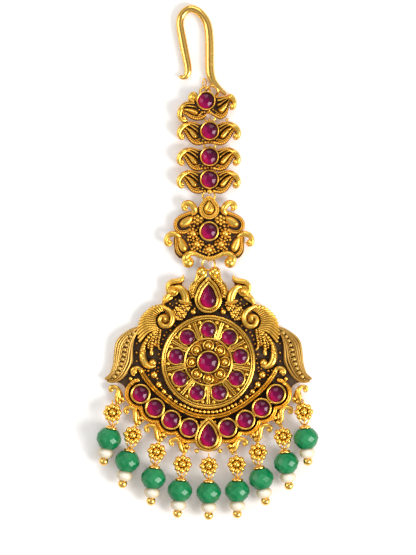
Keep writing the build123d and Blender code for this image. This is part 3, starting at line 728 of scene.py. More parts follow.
def crescent_half():
    """Left half of the crescent: settings, double upper rim with its end curl, and granules."""
    relief = Relief(GROUND - 0.25, 0.9)
    for x, y in CRESCENT_STONES:
        bezel(relief, x, y, CRESCENT_STONE, GROUND - 0.2, SETTING_TOP, 0.55)
    half_gap = 0.3                # the rim's two wires lie this far either side of its line
    rim = smooth([(-16.85, -2.1), (-15.8, -3.9), (-14.85, -5.2), (-13.5, -6.75), (-12.0, -8.15),
                  (-9.9, -9.85), (-7.6, -11.4), (-3.9, -13.15), (0, -13.75)], 8)
    for out in (half_gap, -half_gap):
        relief.level_wire(beside(rim, out), 1.95, 0.27, lift=1.6)
    relief.level_wire(rim, 1.25, 0.6)
    curl = ((-16.75, -2.4, 2.0, 0.45), (-16.95, -1.85, 2.05, 0.5), (-17.6, -1.5, 2.1, 0.5),
            (-18.4, -1.55, 2.1, 0.48), (-19.0, -2.1, 2.0, 0.42), (-19.05, -2.8, 1.9, 0.34),
            (-18.6, -3.2, 1.8, 0.3))
    relief.tube(smooth(curl, 5), 10)
    relief.ball(-18.35, -2.45, 2.1, 0.68, 16, 10)
    for x, y, r in ((-13.5, -3.2, 0.9), (-12.35, -5.6, 0.8), (-11.05, -7.35, 0.66), (-9.6, -8.7, 0.58),
                    (-8.2, -9.8, 0.5), (-6.9, -10.65, 0.46)):
        relief.ball(x, y, GROUND + 0.55, r, 16, 10)
        relief.ball(x + 0.62 * r + 0.15, y - 0.95 * r - 0.1, GROUND + 0.2, 0.3)
    bead_circle = 12.5
    for angle in np.radians(np.arange(-118.5, -89.0, 4.75)):
        relief.ball(bead_circle * cos(angle), bead_circle * sin(angle), GROUND + 0.6, 0.49, 14, 9)
    for x, y, r in ((-19.4, -4.15, 0.5), (-18.25, -4.5, 0.4), (-19.0, -5.45, 0.5), (-18.75, -4.9, 0.3)):
        relief.ball(x, y, GROUND + 0.6, r)
    relief.ball(-1.65, -15.05, GROUND + 0.6, 0.46)
    relief.ball(-2.9, -22.2, 1.3, 0.62, 16, 10)
    return relief


def scallops():
    """The double roped band that follows the outside of the left settings."""
    relief = Relief(GROUND - 0.4, 0.9)
    radius = 3.45
    stones = [*CRESCENT_STONES, LOWER_SCALLOP]
    start = radians(100)
    for (x, y), (next_x, next_y) in zip(stones, stones[1:]):
        way = atan2(next_y - y, next_x - x)
        spread = acos(min(1.0, hypot(next_x - x, next_y - y) / 2 / radius))
        start = start % (2 * pi)
        end = (way - spread) % (2 * pi)
        if end < start:
            end += 2 * pi
        turn = np.linspace(start, end, 30)
        for out, z, wire, lift in ((0.27, 1.6, 0.26, 1.4), (-0.27, 1.6, 0.2, 1.4), (0.0, 1.2, 0.5, 0.9)):
            relief.level_wire(arc_points(x, y, radius + out, turn), z, wire, lift=lift)
        relief.granules(arc_points(x, y, radius, turn), 0.16, 0.3, 1.72, 8, 6)
        start = way + pi + spread      # where the next scallop takes over
    return relief


def spiral_and_fan(relief):
    """The left whorl, its fan of ribs, the granulated strands below it and the S-shaped curl."""
    path = ((-11.6, 13.9, 1.9, 0.34), (-10.9, 13.55, 2.0, 0.48), (-10.1, 13.1, 2.1, 0.6),
            (-9.3, 12.35, 2.15, 0.68), (-8.9, 11.2, 2.15, 0.7), (-9.1, 10.0, 2.15, 0.68),
            (-9.85, 9.1, 2.15, 0.66), (-10.9, 8.9, 2.2, 0.62), (-11.8, 9.45, 2.25, 0.57),
            (-12.15, 10.4, 2.3, 0.51), (-11.8, 11.25, 2.4, 0.45), (-11.05, 11.4, 2.45, 0.4),
            (-10.7, 10.85, 2.5, 0.36))
    relief.tube(smooth(path, 5), 14, lift=1.2)
    relief.dome(circle_loop(-10.8, 10.6, 1.7, 32), [(-10.8, 10.6)], GROUND, 0.8)
    relief.ball(-10.85, 10.75, 2.6, 0.4, 14, 9)
    throat = smooth([(-10.6, 12.5), (-10.05, 11.9), (-9.9, 11.0), (-10.1, 10.3), (-10.7, 9.85)], 6)
    relief.granules(throat, 0.17, 0.42, 1.85, 8, 6)
    outer = smooth([(-11.2, 14.15), (-12.3, 14.1), (-13.3, 13.9), (-14.35, 13.45), (-15.3, 12.6),
                    (-16.3, 11.6), (-16.95, 10.45), (-17.35, 9.15), (-17.55, 7.9), (-17.5, 6.6),
                    (-17.15, 5.2)], 8)
    inner = smooth([(-11.0, 12.95), (-11.9, 12.55), (-12.55, 11.95), (-13.05, 11.2), (-13.2, 10.3),
                    (-13.1, 9.4), (-12.75, 8.7), (-12.4, 8.3)], 8)
    ribs = 15
    outer, inner = resampled(outer, ribs), resampled(inner, ribs)
    for k in range(ribs):
        droop = max(0.0, (k - 4) / 14)
        head, foot = outer[k], inner[k]
        middle = foot * 0.45 + head * 0.55 + np.array([-0.1, 0.3 + 0.75 * droop])
        line = smooth([(*foot, 1.6, 0.18), (*middle, 1.9, 0.31), (*head, 1.5, 0.37)], 6)
        relief.tube(line, 12, lift=1.25)
    edge = anticlockwise(np.vstack([outer, inner[::-1]]))
    relief.dome(edge, [(-13.0, 12.6), (-14.8, 11.2), (-15.4, 8.8)], GROUND, 0.5, tarnish=0.78)
    strands = (
        (((-13.7, 7.35), (-14.5, 6.65), (-15.15, 5.85), (-15.7, 4.95), (-16.1, 3.9)), 0.4, 0.9, 1.25),
        (((-13.2, 7.6), (-13.5, 6.6), (-13.9, 5.5), (-14.1, 4.5), (-14.2, 3.3)), 0.34, 0.8, 1.15),
        (((-12.0, 8.0), (-12.1, 7.0), (-12.2, 6.0), (-12.4, 5.1), (-12.4, 4.1)), 0.26, 0.66, 1.0),
        (((-12.7, 7.9), (-12.9, 6.9), (-13.1, 5.8), (-13.2, 4.8)), 0.24, 0.56, 1.0),
        (((-14.0, 6.3), (-14.5, 5.4), (-14.9, 4.5), (-15.0, 3.6)), 0.22, 0.52, 1.0),
    )
    bed = np.array([(-12.2, 8.3), (-11.5, 8.0), (-11.9, 6.6), (-12.1, 5.0), (-12.0, 3.5), (-12.6, 3.9),
                    (-13.5, 4.0), (-13.9, 3.2), (-14.6, 3.2), (-15.2, 3.3), (-15.6, 4.2), (-16.5, 4.2),
                    (-16.2, 5.6), (-15.2, 7.0), (-13.6, 8.1)])
    bed = anticlockwise(bed)
    relief.dome(bed, [(-12.7, 7.7), (-13.6, 5.6), (-14.2, 4.2)], GROUND, 0.6, tarnish=0.55)
    fill_granules(relief, offset(bed, -0.3), 0.2, 0.5, lambda x, y: 1.55)
    for points, radius, spacing, taper in strands:
        relief.granules(smooth(points, 8), radius, spacing, 1.85, 12, 8, taper=taper)
        relief.wire(points, 1.5, radius * 0.7, 5)
    relief.wire([(-12.4, 4.0), (-12.3, 3.4), (-11.9, 3.05)], 1.5, 0.22, 5)
    relief.tube([(-14.15, 2.85, 1.7, 0.38), (-14.15, 2.4, 1.75, 0.52), (-14.15, 1.95, 1.65, 0.44)], 12)
    curl = ((-16.0, 4.6, 1.5, 0.45), (-16.3, 3.5, 1.55, 0.64), (-16.45, 2.4, 1.6, 0.78),
            (-16.4, 1.2, 1.65, 0.88), (-16.05, 0.1, 1.65, 0.92), (-15.35, -0.75, 1.65, 0.8),
            (-14.3, -1.15, 1.6, 0.56), (-13.4, -0.95, 1.6, 0.36))
    relief.tube(smooth(curl, 5), 16)
    for x, y, r in ((-16.2, 3.3, 0.48), (-16.5, 2.3, 0.52), (-16.5, 1.0, 0.48)):
        relief.ball(x, y, 2.15, r, 14, 9)
        relief.ball(x + 0.45, y - 0.55, 2.15, 0.17, 8, 6)
    relief.ball(-13.8, -0.15, 1.8, 0.92, 18, 12)


def bird_half():
    """The left peacock with its whorl and fan."""
    relief = Relief(GROUND, 0.9, 0.06)
    spiral_and_fan(relief)
    crest = ((-10.2, 17.4, 1.7, 0.3), (-10.25, 18.3, 1.8, 0.45), (-10.0, 19.2, 1.9, 0.58),
             (-9.3, 19.9, 2.0, 0.64), (-8.3, 20.15, 2.1, 0.64), (-7.3, 20.25, 2.1, 0.62),
             (-6.6, 20.6, 2.1, 0.55), (-6.25, 21.2, 2.1, 0.34), (-6.3, 21.6, 2.1, 0.16))
    relief.tube(smooth(crest, 5), 12)
    relief.tube([(x, y - 0.05, z + 0.38, r * 0.45) for x, y, z, r in smooth(crest, 5)[4:-6]], 8)
    relief.ball(-8.8, 17.7, 1.7, 1.22, 24, 14)
    relief.ring(-8.8, 17.7, 2.15, 1.12, 0.24, 32, 10)
    relief.ball(-8.75, 17.65, 2.45, 0.82, 22, 14)
    beak = (((-9.75, 16.75, 1.8, 0.5), (-10.45, 16.2, 1.9, 0.62), (-11.0, 15.4, 1.85, 0.54),
             (-11.45, 14.6, 1.75, 0.24)), ((-9.1, 16.1, 1.7, 0.36), (-9.9, 15.6, 1.8, 0.42),
                                           (-10.7, 15.0, 1.75, 0.34), (-11.4, 14.4, 1.65, 0.17)))
    for mandible in beak:
        relief.tube(smooth(mandible, 6), 12, lift=1.2)
    for x, y in ((-10.25, 16.45), (-10.65, 15.95), (-10.95, 15.4), (-11.2, 14.9)):
        relief.ball(x, y, 2.4, 0.2, 8, 6)
    neck = ((-8.1, 18.75, 2.1, 0.45), (-7.5, 18.75, 2.2, 0.62), (-6.7, 18.25, 2.25, 0.78),
            (-6.0, 17.35, 2.2, 0.88), (-5.65, 16.3, 2.1, 0.95), (-5.55, 15.2, 2.0, 0.98))
    relief.tube(smooth(neck, 6), 16)
    relief.tube([(x - 0.78, y - 0.25, z + 0.2, 0.2) for x, y, z, r in smooth(neck, 6)[14:]], 8)
    relief.wire([(-7.2, 15.3), (-6.4, 15.12), (-5.4, 14.98), (-4.45, 14.8)], 2.75, 0.27, 5, lift=1.2)
    relief.wire([(-6.9, 14.85), (-6.2, 14.7), (-5.4, 14.56), (-4.6, 14.42)], 2.3, 0.2, 5)
    region = np.array([(-7.0, 14.5), (-4.6, 14.2), (-4.7, 12.9), (-5.5, 11.9), (-6.1, 10.6), (-7.5, 10.1),
                       (-8.3, 11.2), (-8.8, 12.3), (-8.75, 13.3), (-7.8, 13.9)])
    relief.dome(region[::-1], [(-5.9, 13.8), (-6.9, 12.4), (-7.0, 11.2)], GROUND, 0.9, tarnish=0.78)
    fill_granules(relief, region, 0.34, 0.66, lambda x, y: 1.95 - 0.12 * hypot(x + 6.6, y - 12.6))
    for x, y, r in ((-17.9, 4.6, 0.22), (-17.9, 2.3, 0.3), (-17.9, 0.2, 0.24), (-12.3, 1.9, 0.3),
                    (-12.0, 0.8, 0.22), (-12.2, -0.3, 0.28), (-12.45, -1.4, 0.24), (-11.7, 4.5, 0.26),
                    (-11.3, 5.6, 0.22), (-10.95, 6.6, 0.28), (-10.4, 7.4, 0.22), (-9.4, 7.95, 0.3),
                    (-8.3, 9.05, 0.24), (-9.6, 14.5, 0.24), (-8.9, 14.1, 0.2), (-8.2, 15.6, 0.24),
                    (-7.9, 14.6, 0.3), (-4.7, 16.7, 0.24), (-4.5, 15.6, 0.2), (-4.3, 14.2, 0.28),
                    (-15.9, -2.1, 0.26), (-15.0, -2.2, 0.32), (-12.6, -2.3, 0.24), (-14.9, -3.3, 0.24),
                    (-13.2, -1.7, 0.22)):
        relief.ball(x, y, GROUND + 0.25, r, 12, 8)
    relief.ball(-3.75, 12.5, GROUND + 0.6, 0.7, 16, 10)
    relief.ball(-3.4, 13.3, GROUND + 0.3, 0.3)
    return relief


def inside(point, loop):
    """Whether a point is inside a closed outline."""
    x, y = point
    hit = False
    for (x1, y1), (x2, y2) in zip(loop, np.roll(loop, -1, axis=0)):
        if (y1 > y) != (y2 > y) and x < (x2 - x1) * (y - y1) / (y2 - y1) + x1:
            hit = not hit
    return hit


def fill_granules(relief, region, radius, spacing, height):
    """Granules of uneven size packed over a region; height gives the level of the ground under each."""
    low, high = region.min(0), region.max(0)
    row = 0
    y = low[1]
    while y <= high[1]:
        x = low[0] + (spacing / 2 if row % 2 else 0)
        while x <= high[0]:
            sway = sin(7.3 * x + 3.1 * y)
            if inside((x, y), region):
                relief.ball(x + 0.12 * sway, y + 0.1 * sin(5.7 * y - 2.9 * x), height(x, y),
                            radius * (1 + 0.22 * sway), 12, 8)
            x += spacing
        y += spacing * 0.866
        row += 1


def leaf_half():
    """The left side leaf: a puffed blade with long parallel ridges and a row of granules."""
    # the extra patina darkens the whole leaf along with its darker gold: painted shade
    relief = Relief(1.1, 1.0, 0.2)
    outer = smooth([(-17.5, 8.75), (-18.9, 8.35), (-20.5, 7.5), (-21.85, 6.55), (-22.85, 5.4), (-23.3, 4.0),
                    (-23.5, 2.0), (-23.6, 0.1), (-23.9, -1.4), (-24.5, -2.9), (-25.75, -4.1)], 8)
    inner = smooth([(-17.6, 7.6), (-18.15, 6.6), (-18.6, 5.4), (-18.8, 3.8), (-18.8, 2.0), (-18.85, 0.2),
                    (-19.2, -1.1), (-19.9, -2.3), (-20.9, -3.7), (-22.2, -4.75), (-23.7, -5.25),
                    (-25.0, -4.95)], 8)
    count = 44
    outer, inner = resampled(outer, count), resampled(inner, count)
    edge = anticlockwise(np.vstack([outer, inner[::-1]]))
    relief.plate(edge, 0, 1.35, 0.2, 0.8)
    relief.dome(offset(edge, -0.2), (outer + inner)[2:-2] / 2, 1.2, 0.55)
    swell = np.sin(np.linspace(0.15, pi - 0.1, count)) ** 0.5
    ridges = ((0.06, 0.34, 1.7), (0.17, 0.3, 1.95), (0.275, 0.3, 2.1), (0.37, 0.2, 2.1), (0.66, 0.17, 2.05),
              (0.76, 0.28, 2.05), (0.9, 0.32, 1.85))
    for share, radius, z in ridges:
        line = outer * (1 - share) + inner * share
        relief.tube(np.column_stack([line, 1.4 + (z - 1.4) * swell, radius * (0.4 + 0.6 * swell)]), 8,
                    lift=1.35)
    line = (outer * 0.5 + inner * 0.5)[4:-3]
    for share, place in zip(np.linspace(0.75, 1, 11), evenly(line, 1.25)):      # smaller at its top
        relief.ball(place[0], place[1], 2.2, 0.55 * min(1, share + 0.1), 16, 10)
    relief.granules((outer * 0.4 + inner * 0.6)[5:-4], 0.22, 0.62, 2.15, 8, 6)
    relief.granules((outer * 0.1 + inner * 0.9)[6:-8], 0.15, 0.4, 2.1, 8, 6)
    return relief


def crown_half():
    """Left scroll above the upper stone: ball, smooth neck and granulated tail."""
    relief = Relief(GROUND, 0.9)
    relief.ball(-1.67, 22.5, 2.0, 1.33, 24, 14)
    cheek = ((-2.55, 22.35, 1.7, 0.5), (-2.6, 21.6, 1.75, 0.55), (-2.75, 20.9, 1.75, 0.55),
             (-3.1, 20.2, 1.7, 0.5))
    relief.tube(smooth(cheek, 5), 12)
    neck = ((-1.0, 23.3, 2.0, 0.36), (-0.68, 22.7, 2.2, 0.44), (-0.75, 21.9, 2.3, 0.5),
            (-1.3, 21.2, 2.3, 0.5), (-2.1, 20.55, 2.2, 0.42))
    relief.tube(smooth(neck, 5), 12)
    spine = smooth([(-1.5, 21.0), (-2.4, 20.3), (-3.2, 19.5), (-3.8, 18.6), (-4.0, 17.7), (-3.9, 16.9),
                    (-3.7, 16.2)], 8)
    widths = 0.25 + 0.5 * np.sin(np.linspace(0.25, pi - 0.25, len(spine)))
    relief.tube(np.column_stack([spine, np.full(len(spine), 1.5), widths]), 12)
    for sign in (-1, 1):
        relief.level_wire(beside(spine, sign * widths), 1.95, 0.15)
    for place in evenly(spine[4:-2], 0.72):
        relief.ball(place[0], place[1], 2.25, 0.36, 14, 9)
        for sign in (-1, 1):
            relief.ball(place[0] + sign * 0.42, place[1] - 0.3, 2.1, 0.2, 10, 7)
    return relief


def hanger(relief, ball, foot):
    """A scroll with a beaded arm, a puffed drop beside it and a blob at its foot."""
    ball, foot = np.array(ball), np.array(foot)
    reach = foot - ball
    length = 3.7                  # from ball to foot as drawn below
    size = max(0.88, hypot(*reach) / length)
    turn = atan2(reach[1], reach[0]) - atan2(-2.65, 2.6)

    def place(x, y):
        return (ball[0] + size * (x * cos(turn) - y * sin(turn)),
                ball[1] + size * (x * sin(turn) + y * cos(turn)))

    relief.ball(*ball, 1.8, 0.46, 16, 10)
    arm = ((-0.1, -0.5, 1.5, 0.3), (-0.62, -0.1, 1.6, 0.4), (-0.6, 0.6, 1.7, 0.46), (0.0, 1.05, 1.75, 0.5),
           (0.8, 1.12, 1.8, 0.55), (1.5, 0.85, 1.8, 0.6), (1.9, 0.15, 1.8, 0.62), (2.02, -0.8, 1.75, 0.62),
           (2.15, -1.7, 1.6, 0.58), (2.5, -2.5, 1.5, 0.48))
    relief.tube(smooth([(*place(x, y), z, r) for x, y, z, r in arm], 5), 12)
    beads = ((1.75, 0.55), (1.95, -0.2), (2.0, -1.0), (2.15, -1.8), (2.4, -2.3))
    relief.granules(smooth([place(x, y) for x, y in beads], 6), 0.2, 0.36, 2.36)
    base = ((1.6, 0.6), (2.5, 0.9), (3.2, 0.2), (3.9, -0.6), (4.3, -1.3), (3.9, -2.0), (3.4, -2.8),
            (2.7, -3.1), (2.1, -2.4), (1.6, -1.0))
    relief.plate(smooth([place(x, y) for x, y in base], 4, True)[::-1], 0.35, 1.3, 0.15, 0.6)
    drop = ((2.55, 0.6), (3.1, -0.2), (3.5, -1.1), (3.3, -1.85), (2.8, -1.95), (2.45, -1.2), (2.35, -0.3))
    relief.dome(smooth([place(x, y) for x, y in drop], 4, True)[::-1],
                [place(2.8, -1.1), place(2.65, -0.3)], 1.1, 1.35)
    relief.ball(*place(3.7, -1.15), 1.75, 0.55, 16, 10)
    relief.ball(*place(3.1, -2.4), 1.5, 0.68, 16, 10)
    relief.ball(*place(4.35, -1.5), 1.5, 0.32, 10, 7)
    relief.ball(*place(4.1, -2.0), 1.4, 0.26, 10, 7)
    relief.ball(*place(2.75, -3.15), 1.35, 0.44, 14, 9)


def hanger_half():
    """The left hangers, each over its own drop."""
    relief = Relief(0.7, 1.1, 0.05)
    for ball, foot in (((-24.05, -7.0), (-22.9, -9.9)), ((-20.2, -12.4), (-17.9, -15.3)),
                       ((-15.0, -16.95), (-12.4, -19.6)), ((-8.9, -20.35), (-6.25, -22.4))):
        hanger(relief, ball, foot)
    return relief


def place_pendant_pieces():
    pendant_plate().build("pendant_plate", ANTIQUE, "pendant")
    medallion().build("pendant_medallion", ANTIQUE, "pendant")
    lower = Relief(GROUND, 0.9)
    lower.mirrored(crescent_half())
    teardrop_bezel(lower, *LOWER_DROP, GROUND - 0.2, SETTING_TOP)
    lower.build("pendant_crescent", ANTIQUE, "pendant")
    edge = Relief(GROUND, 0.9)
    edge.mirrored(scallops())
    edge.build("pendant_edge", ANTIQUE, "pendant")
    for side, flip in (("left", False), ("right", True)):
        bird = Relief()
        bird.merge(bird_half(), flip)
        bird.build(f"peacock_{side}", ANTIQUE, "pendant")
        leaf = Relief()
        leaf.merge(leaf_half(), flip)
        leaf.build(f"side_leaf_{side}", SHADED_GOLD, "pendant")
    crown = Relief(GROUND, 0.9)
    crown.mirrored(crown_half())
    teardrop_bezel(crown, *UPPER_DROP, GROUND - 0.2, 3.5)
    crown.build("pendant_crown", ANTIQUE, "pendant")
    hangers = Relief(0.4, 1.2)
    hangers.mirrored(hanger_half())
    hangers.build("pendant_hangers", ANTIQUE, "pendant")


def place_pendant_stones():
    rubies("ruby_centre_stone", "ruby_centre", [(0, 0, CENTRE_STONE - STONE_PLAY, 2.45, 4.2, 0.2)])
    ring = on_circle(MEDALLION_STONES, MEDALLION_STONE_CIRCLE)
    rubies("ruby_medallion_stones", "rubies_medallion",
           [(x, y, MEDALLION_STONE - STONE_PLAY, 2.15, 3.55, i * 0.37) for i, (x, y, _) in enumerate(ring)])
    row = [*CRESCENT_STONES, *((-x, y) for x, y in CRESCENT_STONES)]
    rubies("ruby_crescent_stones", "rubies_crescent",
           [(x, y, CRESCENT_STONE - STONE_PLAY, 1.95, 3.6, i * 0.51) for i, (x, y) in enumerate(row)])
    for where, drop, low, top in (("upper", UPPER_DROP, 2.25, 4.1), ("lower", LOWER_DROP, 2.05, 3.8)):
        stone = Relief()
        teardrop_stone(stone, *drop, low, top)
        stone.build(f"ruby_{where}_stone", RUBY, f"ruby_{where}_drop")


# ---- links --------------------------------------------------------------------------------
def box_of(node):
    """Lowest and highest corner of a CAD node, in millimetres."""
    low, high = (np.array(corner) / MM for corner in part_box(node))
    return low, high


def centre_of(node):
    low, high = box_of(node)
    return (low + high) / 2


def link_wing():
    """The right wing of a link about the middle of its stone: scroll arm, puffed pads, beaded rims."""
    relief = Relief(LINK_BACK + 0.1, 1.0, 0.04)
    outline = smooth([(0.4, 2.0), (1.5, 1.8), (2.4, 1.5), (3.6, 2.1), (4.8, 2.3), (6.0, 2.0), (7.0, 1.3),
                      (7.65, 0.3), (7.8, -0.7), (7.55, -1.6), (6.9, -2.2), (6.1, -2.15), (5.75, -1.5),
                      (6.0, -0.9), (6.3, -0.4), (5.8, -0.3), (5.2, -1.3), (4.5, -2.4), (3.7, -3.2),
                      (2.6, -3.5), (1.5, -3.2), (0.4, -2.4)], 4)[::-1]
    relief.plate(outline, LINK_BACK - 0.5, LINK_BACK + 0.4, 0.15, 0.85)
    arm = ((4.5, 1.75, 1.9, 0.3), (5.3, 1.55, 2.1, 0.52), (6.0, 1.2, 2.25, 0.68), (6.65, 0.65, 2.3, 0.7),
           (7.1, -0.1, 2.3, 0.62), (7.2, -0.9, 2.25, 0.54), (6.85, -1.6, 2.1, 0.46), (6.3, -1.8, 2.0, 0.36))
    relief.tube(smooth(arm, 5), 16)
    relief.ball(6.4, -1.2, 2.3, 0.56, 16, 10)
    upper = smooth([(5.6, 1.35), (4.7, 1.5), (3.8, 1.25), (3.0, 0.65), (2.4, -0.05), (2.35, -0.65),
                    (2.75, -0.35), (3.4, 0.35), (4.2, 0.95), (5.0, 1.15)], 4, True)
    relief.dome(upper, [(2.7, 0.05), (4.5, 1.25)], LINK_BACK + 0.3, 1.15)
    pad = smooth([(6.0, 0.85), (5.3, 0.95), (4.5, 0.8), (3.6, 0.25), (2.9, -0.5), (2.5, -1.15), (2.6, -1.8),
                  (3.15, -2.05), (3.8, -1.7), (4.35, -0.95), (4.9, -0.15), (5.45, 0.4)], 4, True)
    relief.dome(pad, [(3.2, -1.3), (5.3, 0.6)], LINK_BACK + 0.3, 1.6)
    leaf = smooth([(3.4, -2.2), (2.7, -2.05), (2.1, -1.8), (1.7, -1.9), (2.2, -2.3), (2.9, -2.45)], 4, True)
    relief.dome(leaf, [(2.1, -2.05), (2.9, -2.2)], LINK_BACK + 0.3, 1.0)
    relief.granules(smooth([(2.2, 1.6), (3.0, 1.9), (3.9, 2.1), (4.8, 2.15)], 6), 0.24, 0.42, 1.9)
    relief.wire([(2.5, 0.95), (3.2, 1.4), (4.1, 1.72), (5.0, 1.8)], 2.1, 0.2, 5)
    fine = smooth([(6.1, 0.55), (5.55, 0.15), (5.05, -0.6), (4.5, -1.4), (3.85, -2.1), (3.1, -2.5),
                   (2.2, -2.6)], 6)
    relief.granules(fine, 0.17, 0.3, 2.05)
    rim = smooth([(5.95, 0.1), (5.5, -0.45), (4.95, -1.35), (4.3, -2.25), (3.5, -2.85), (2.5, -3.1),
                  (1.5, -2.95)], 6)
    relief.granules(rim, 0.29, 0.56, 1.9, taper=1.15)
    relief.wire([(5.95, 0.0), (5.6, -0.6), (5.1, -1.5), (4.4, -2.5), (3.55, -3.15), (2.5, -3.4),
                 (1.4, -3.15)], 1.3, 0.22, 5, lift=1.2)
    return relief


def bend_down(points):
    """The first link's right wing hangs more upright: its body slides down, its scroll stays."""
    share = np.clip((6.6 - points[:, 0]) / 2.4, 0, 1)
    share = share * share * (3 - 2 * share) * np.clip((points[:, 0] - 1.0) / 2.0, 0, 1)
    moved = points.copy()
    moved[:, 0] += 0.6 * share - 0.2 * np.clip((points[:, 0] - 5) / 3, 0, 1)
    moved[:, 1] -= 1.1 * share
    return moved


def stand_eye(relief, joint, side):
    """The small upright loop that a jump ring passes through, above or below that ring."""
    low, high = box_of(joint)
    reach = (high[1] - low[1]) / 2 - JUMP_WIRE
    middle = (low + high) / 2
    relief.loop_in_plane((middle[0], middle[1] + side * reach, EYE_RADIUS + EYE_WIRE), (0, 1, 0), (0, 0, 1),
                         EYE_RADIUS, EYE_RADIUS, EYE_WIRE)


def link(number, x, y):
    """One link: round setting, two wings, and the tab below it that hides the joint."""
    relief = Relief(LINK_BACK + 0.1, 1.0, 0.08)
    relief.lathe(x, y,
                 [(0.01, LINK_BACK - 0.3), (2.3, LINK_BACK - 0.3), (2.3, LINK_BACK), (2.3, LINK_GROUND)],
                 40)
    bezel(relief, x, y, LINK_STONE, LINK_BACK, 3.2, 0.42)
    wing = link_wing()
    if number == 1:
        left = Relief()
        left.merge(wing, flip=True, move=(-0.35, -0.3, 0), turn=28)
        relief.merge(left, move=(x, y, 0))
        wing.points = [bend_down(points) for points in wing.points]
        relief.merge(wing, move=(x, y, 0))
        curl = ((-2.4, 0.1, 1.9, 0.34), (-2.45, 1.0, 2.1, 0.46), (-2.85, 1.7, 2.2, 0.5),
                (-3.5, 1.65, 2.2, 0.5), (-4.0, 1.05, 2.15, 0.48), (-3.9, 0.3, 2.1, 0.46),
                (-3.2, 0.0, 2.0, 0.4))
        relief.tube([(x + a, y + b, z, r) for a, b, z, r in smooth(curl, 5)], 14)
        relief.ball(x - 3.2, y + 0.85, 2.1, 0.62, 14, 9)
        relief.ball(x - 3.1, y + 0.85, 1.4, 1.05, 16, 10)
        tilt = radians(-25)
        ring, slot = (x - 0.25, y + 2.35, 1.0), (x - 0.45, y + 4.55, 0.55)
        relief.loop_in_plane(ring, (1, 0, 0), (0, cos(tilt), sin(tilt)), 1.25, 1.25, 0.3)
        relief.loop_in_plane(slot, (1, 0, 0), (0, 1, 0), 0.42, 1.02, 0.2)
    else:
        relief.merge(wing, flip=True, move=(x - 0.45, y, 0))
        relief.merge(wing, move=(x, y, 0))
        stand_eye(relief, JOINTS[number - 2], -1)
    stand_eye(relief, JOINTS[number - 1], 1)
    if number == 2:
        relief.ball(x + 4.3, y + 2.75, 1.9, 0.4)
    if number == 4:
        relief.ball(x, y - 3.0, 2.3, 0.62, 16, 10)
    tab = np.array([(-1.6, -1.9), (-1.25, -3.25), (1.25, -3.25), (1.6, -1.9)]) + [x, y]
    relief.plate(tab, 0.7, 1.5, 0.12, 0.65)
    for side in (-1, 1):
        relief.ball(x + side * 1.1, y - 2.85, 1.9, 0.36, 12, 8)
        relief.ball(x + side * 0.45, y - 2.75, 1.8, 0.3, 10, 7)
        relief.ball(x + side * 1.75, y - 2.2, 1.9, 0.26, 10, 7)
    return relief


def place_links():
    for number in range(1, 5):
        x, y, _ = centre_of(f"ruby_link_{number}")
        link(number, x, y).build(f"link_{number}_looks", ANTIQUE, f"link_{number}")
        rubies(f"ruby_link_{number}_stone", f"ruby_link_{number}",
               [(x, y, LINK_STONE_RADIUS, 2.2, 3.75, number * 0.4)])


# ---- rosette ------------------------------------------------------------------------------
def paisley(relief, outline, pad, spine, rim):
    """A puffed teardrop inside a beaded rim."""
    level = ROSETTE_GROUND
    relief.plate(anticlockwise(smooth(outline, 5, True)), level - 0.6, level + 0.3, 0.15, 0.8)
    relief.dome(anticlockwise(smooth(pad, 5, True)), spine, level + 0.2, 1.3)
    line = smooth(rim, 8)
    relief.level_wire(line, level + 0.4, 0.15, lift=1.3)
    relief.granules(beside(line, 0.4), 0.27, 0.44, level + 0.45, 10, 7)
    relief.level_wire(beside(line, 0.55), level + 0.1, 0.2)


def flower_head(relief, x, y):
    """A ball inside a ring of small granules on a low disc."""
    z, size = 1.95, 1.12
    relief.lathe(x, y, [(size, z - 0.8), (size, z - 0.35), (0.8 * size, z - 0.2), (0.05, z - 0.2)], 24,
                 tarnish=0.4)
    for a, b, _ in on_circle(8, size):
        relief.ball(x + a, y + b, z - 0.15, 0.33 * size, 12, 8)
    relief.ball(x, y, z + 0.15, 0.78 * size, 18, 12)


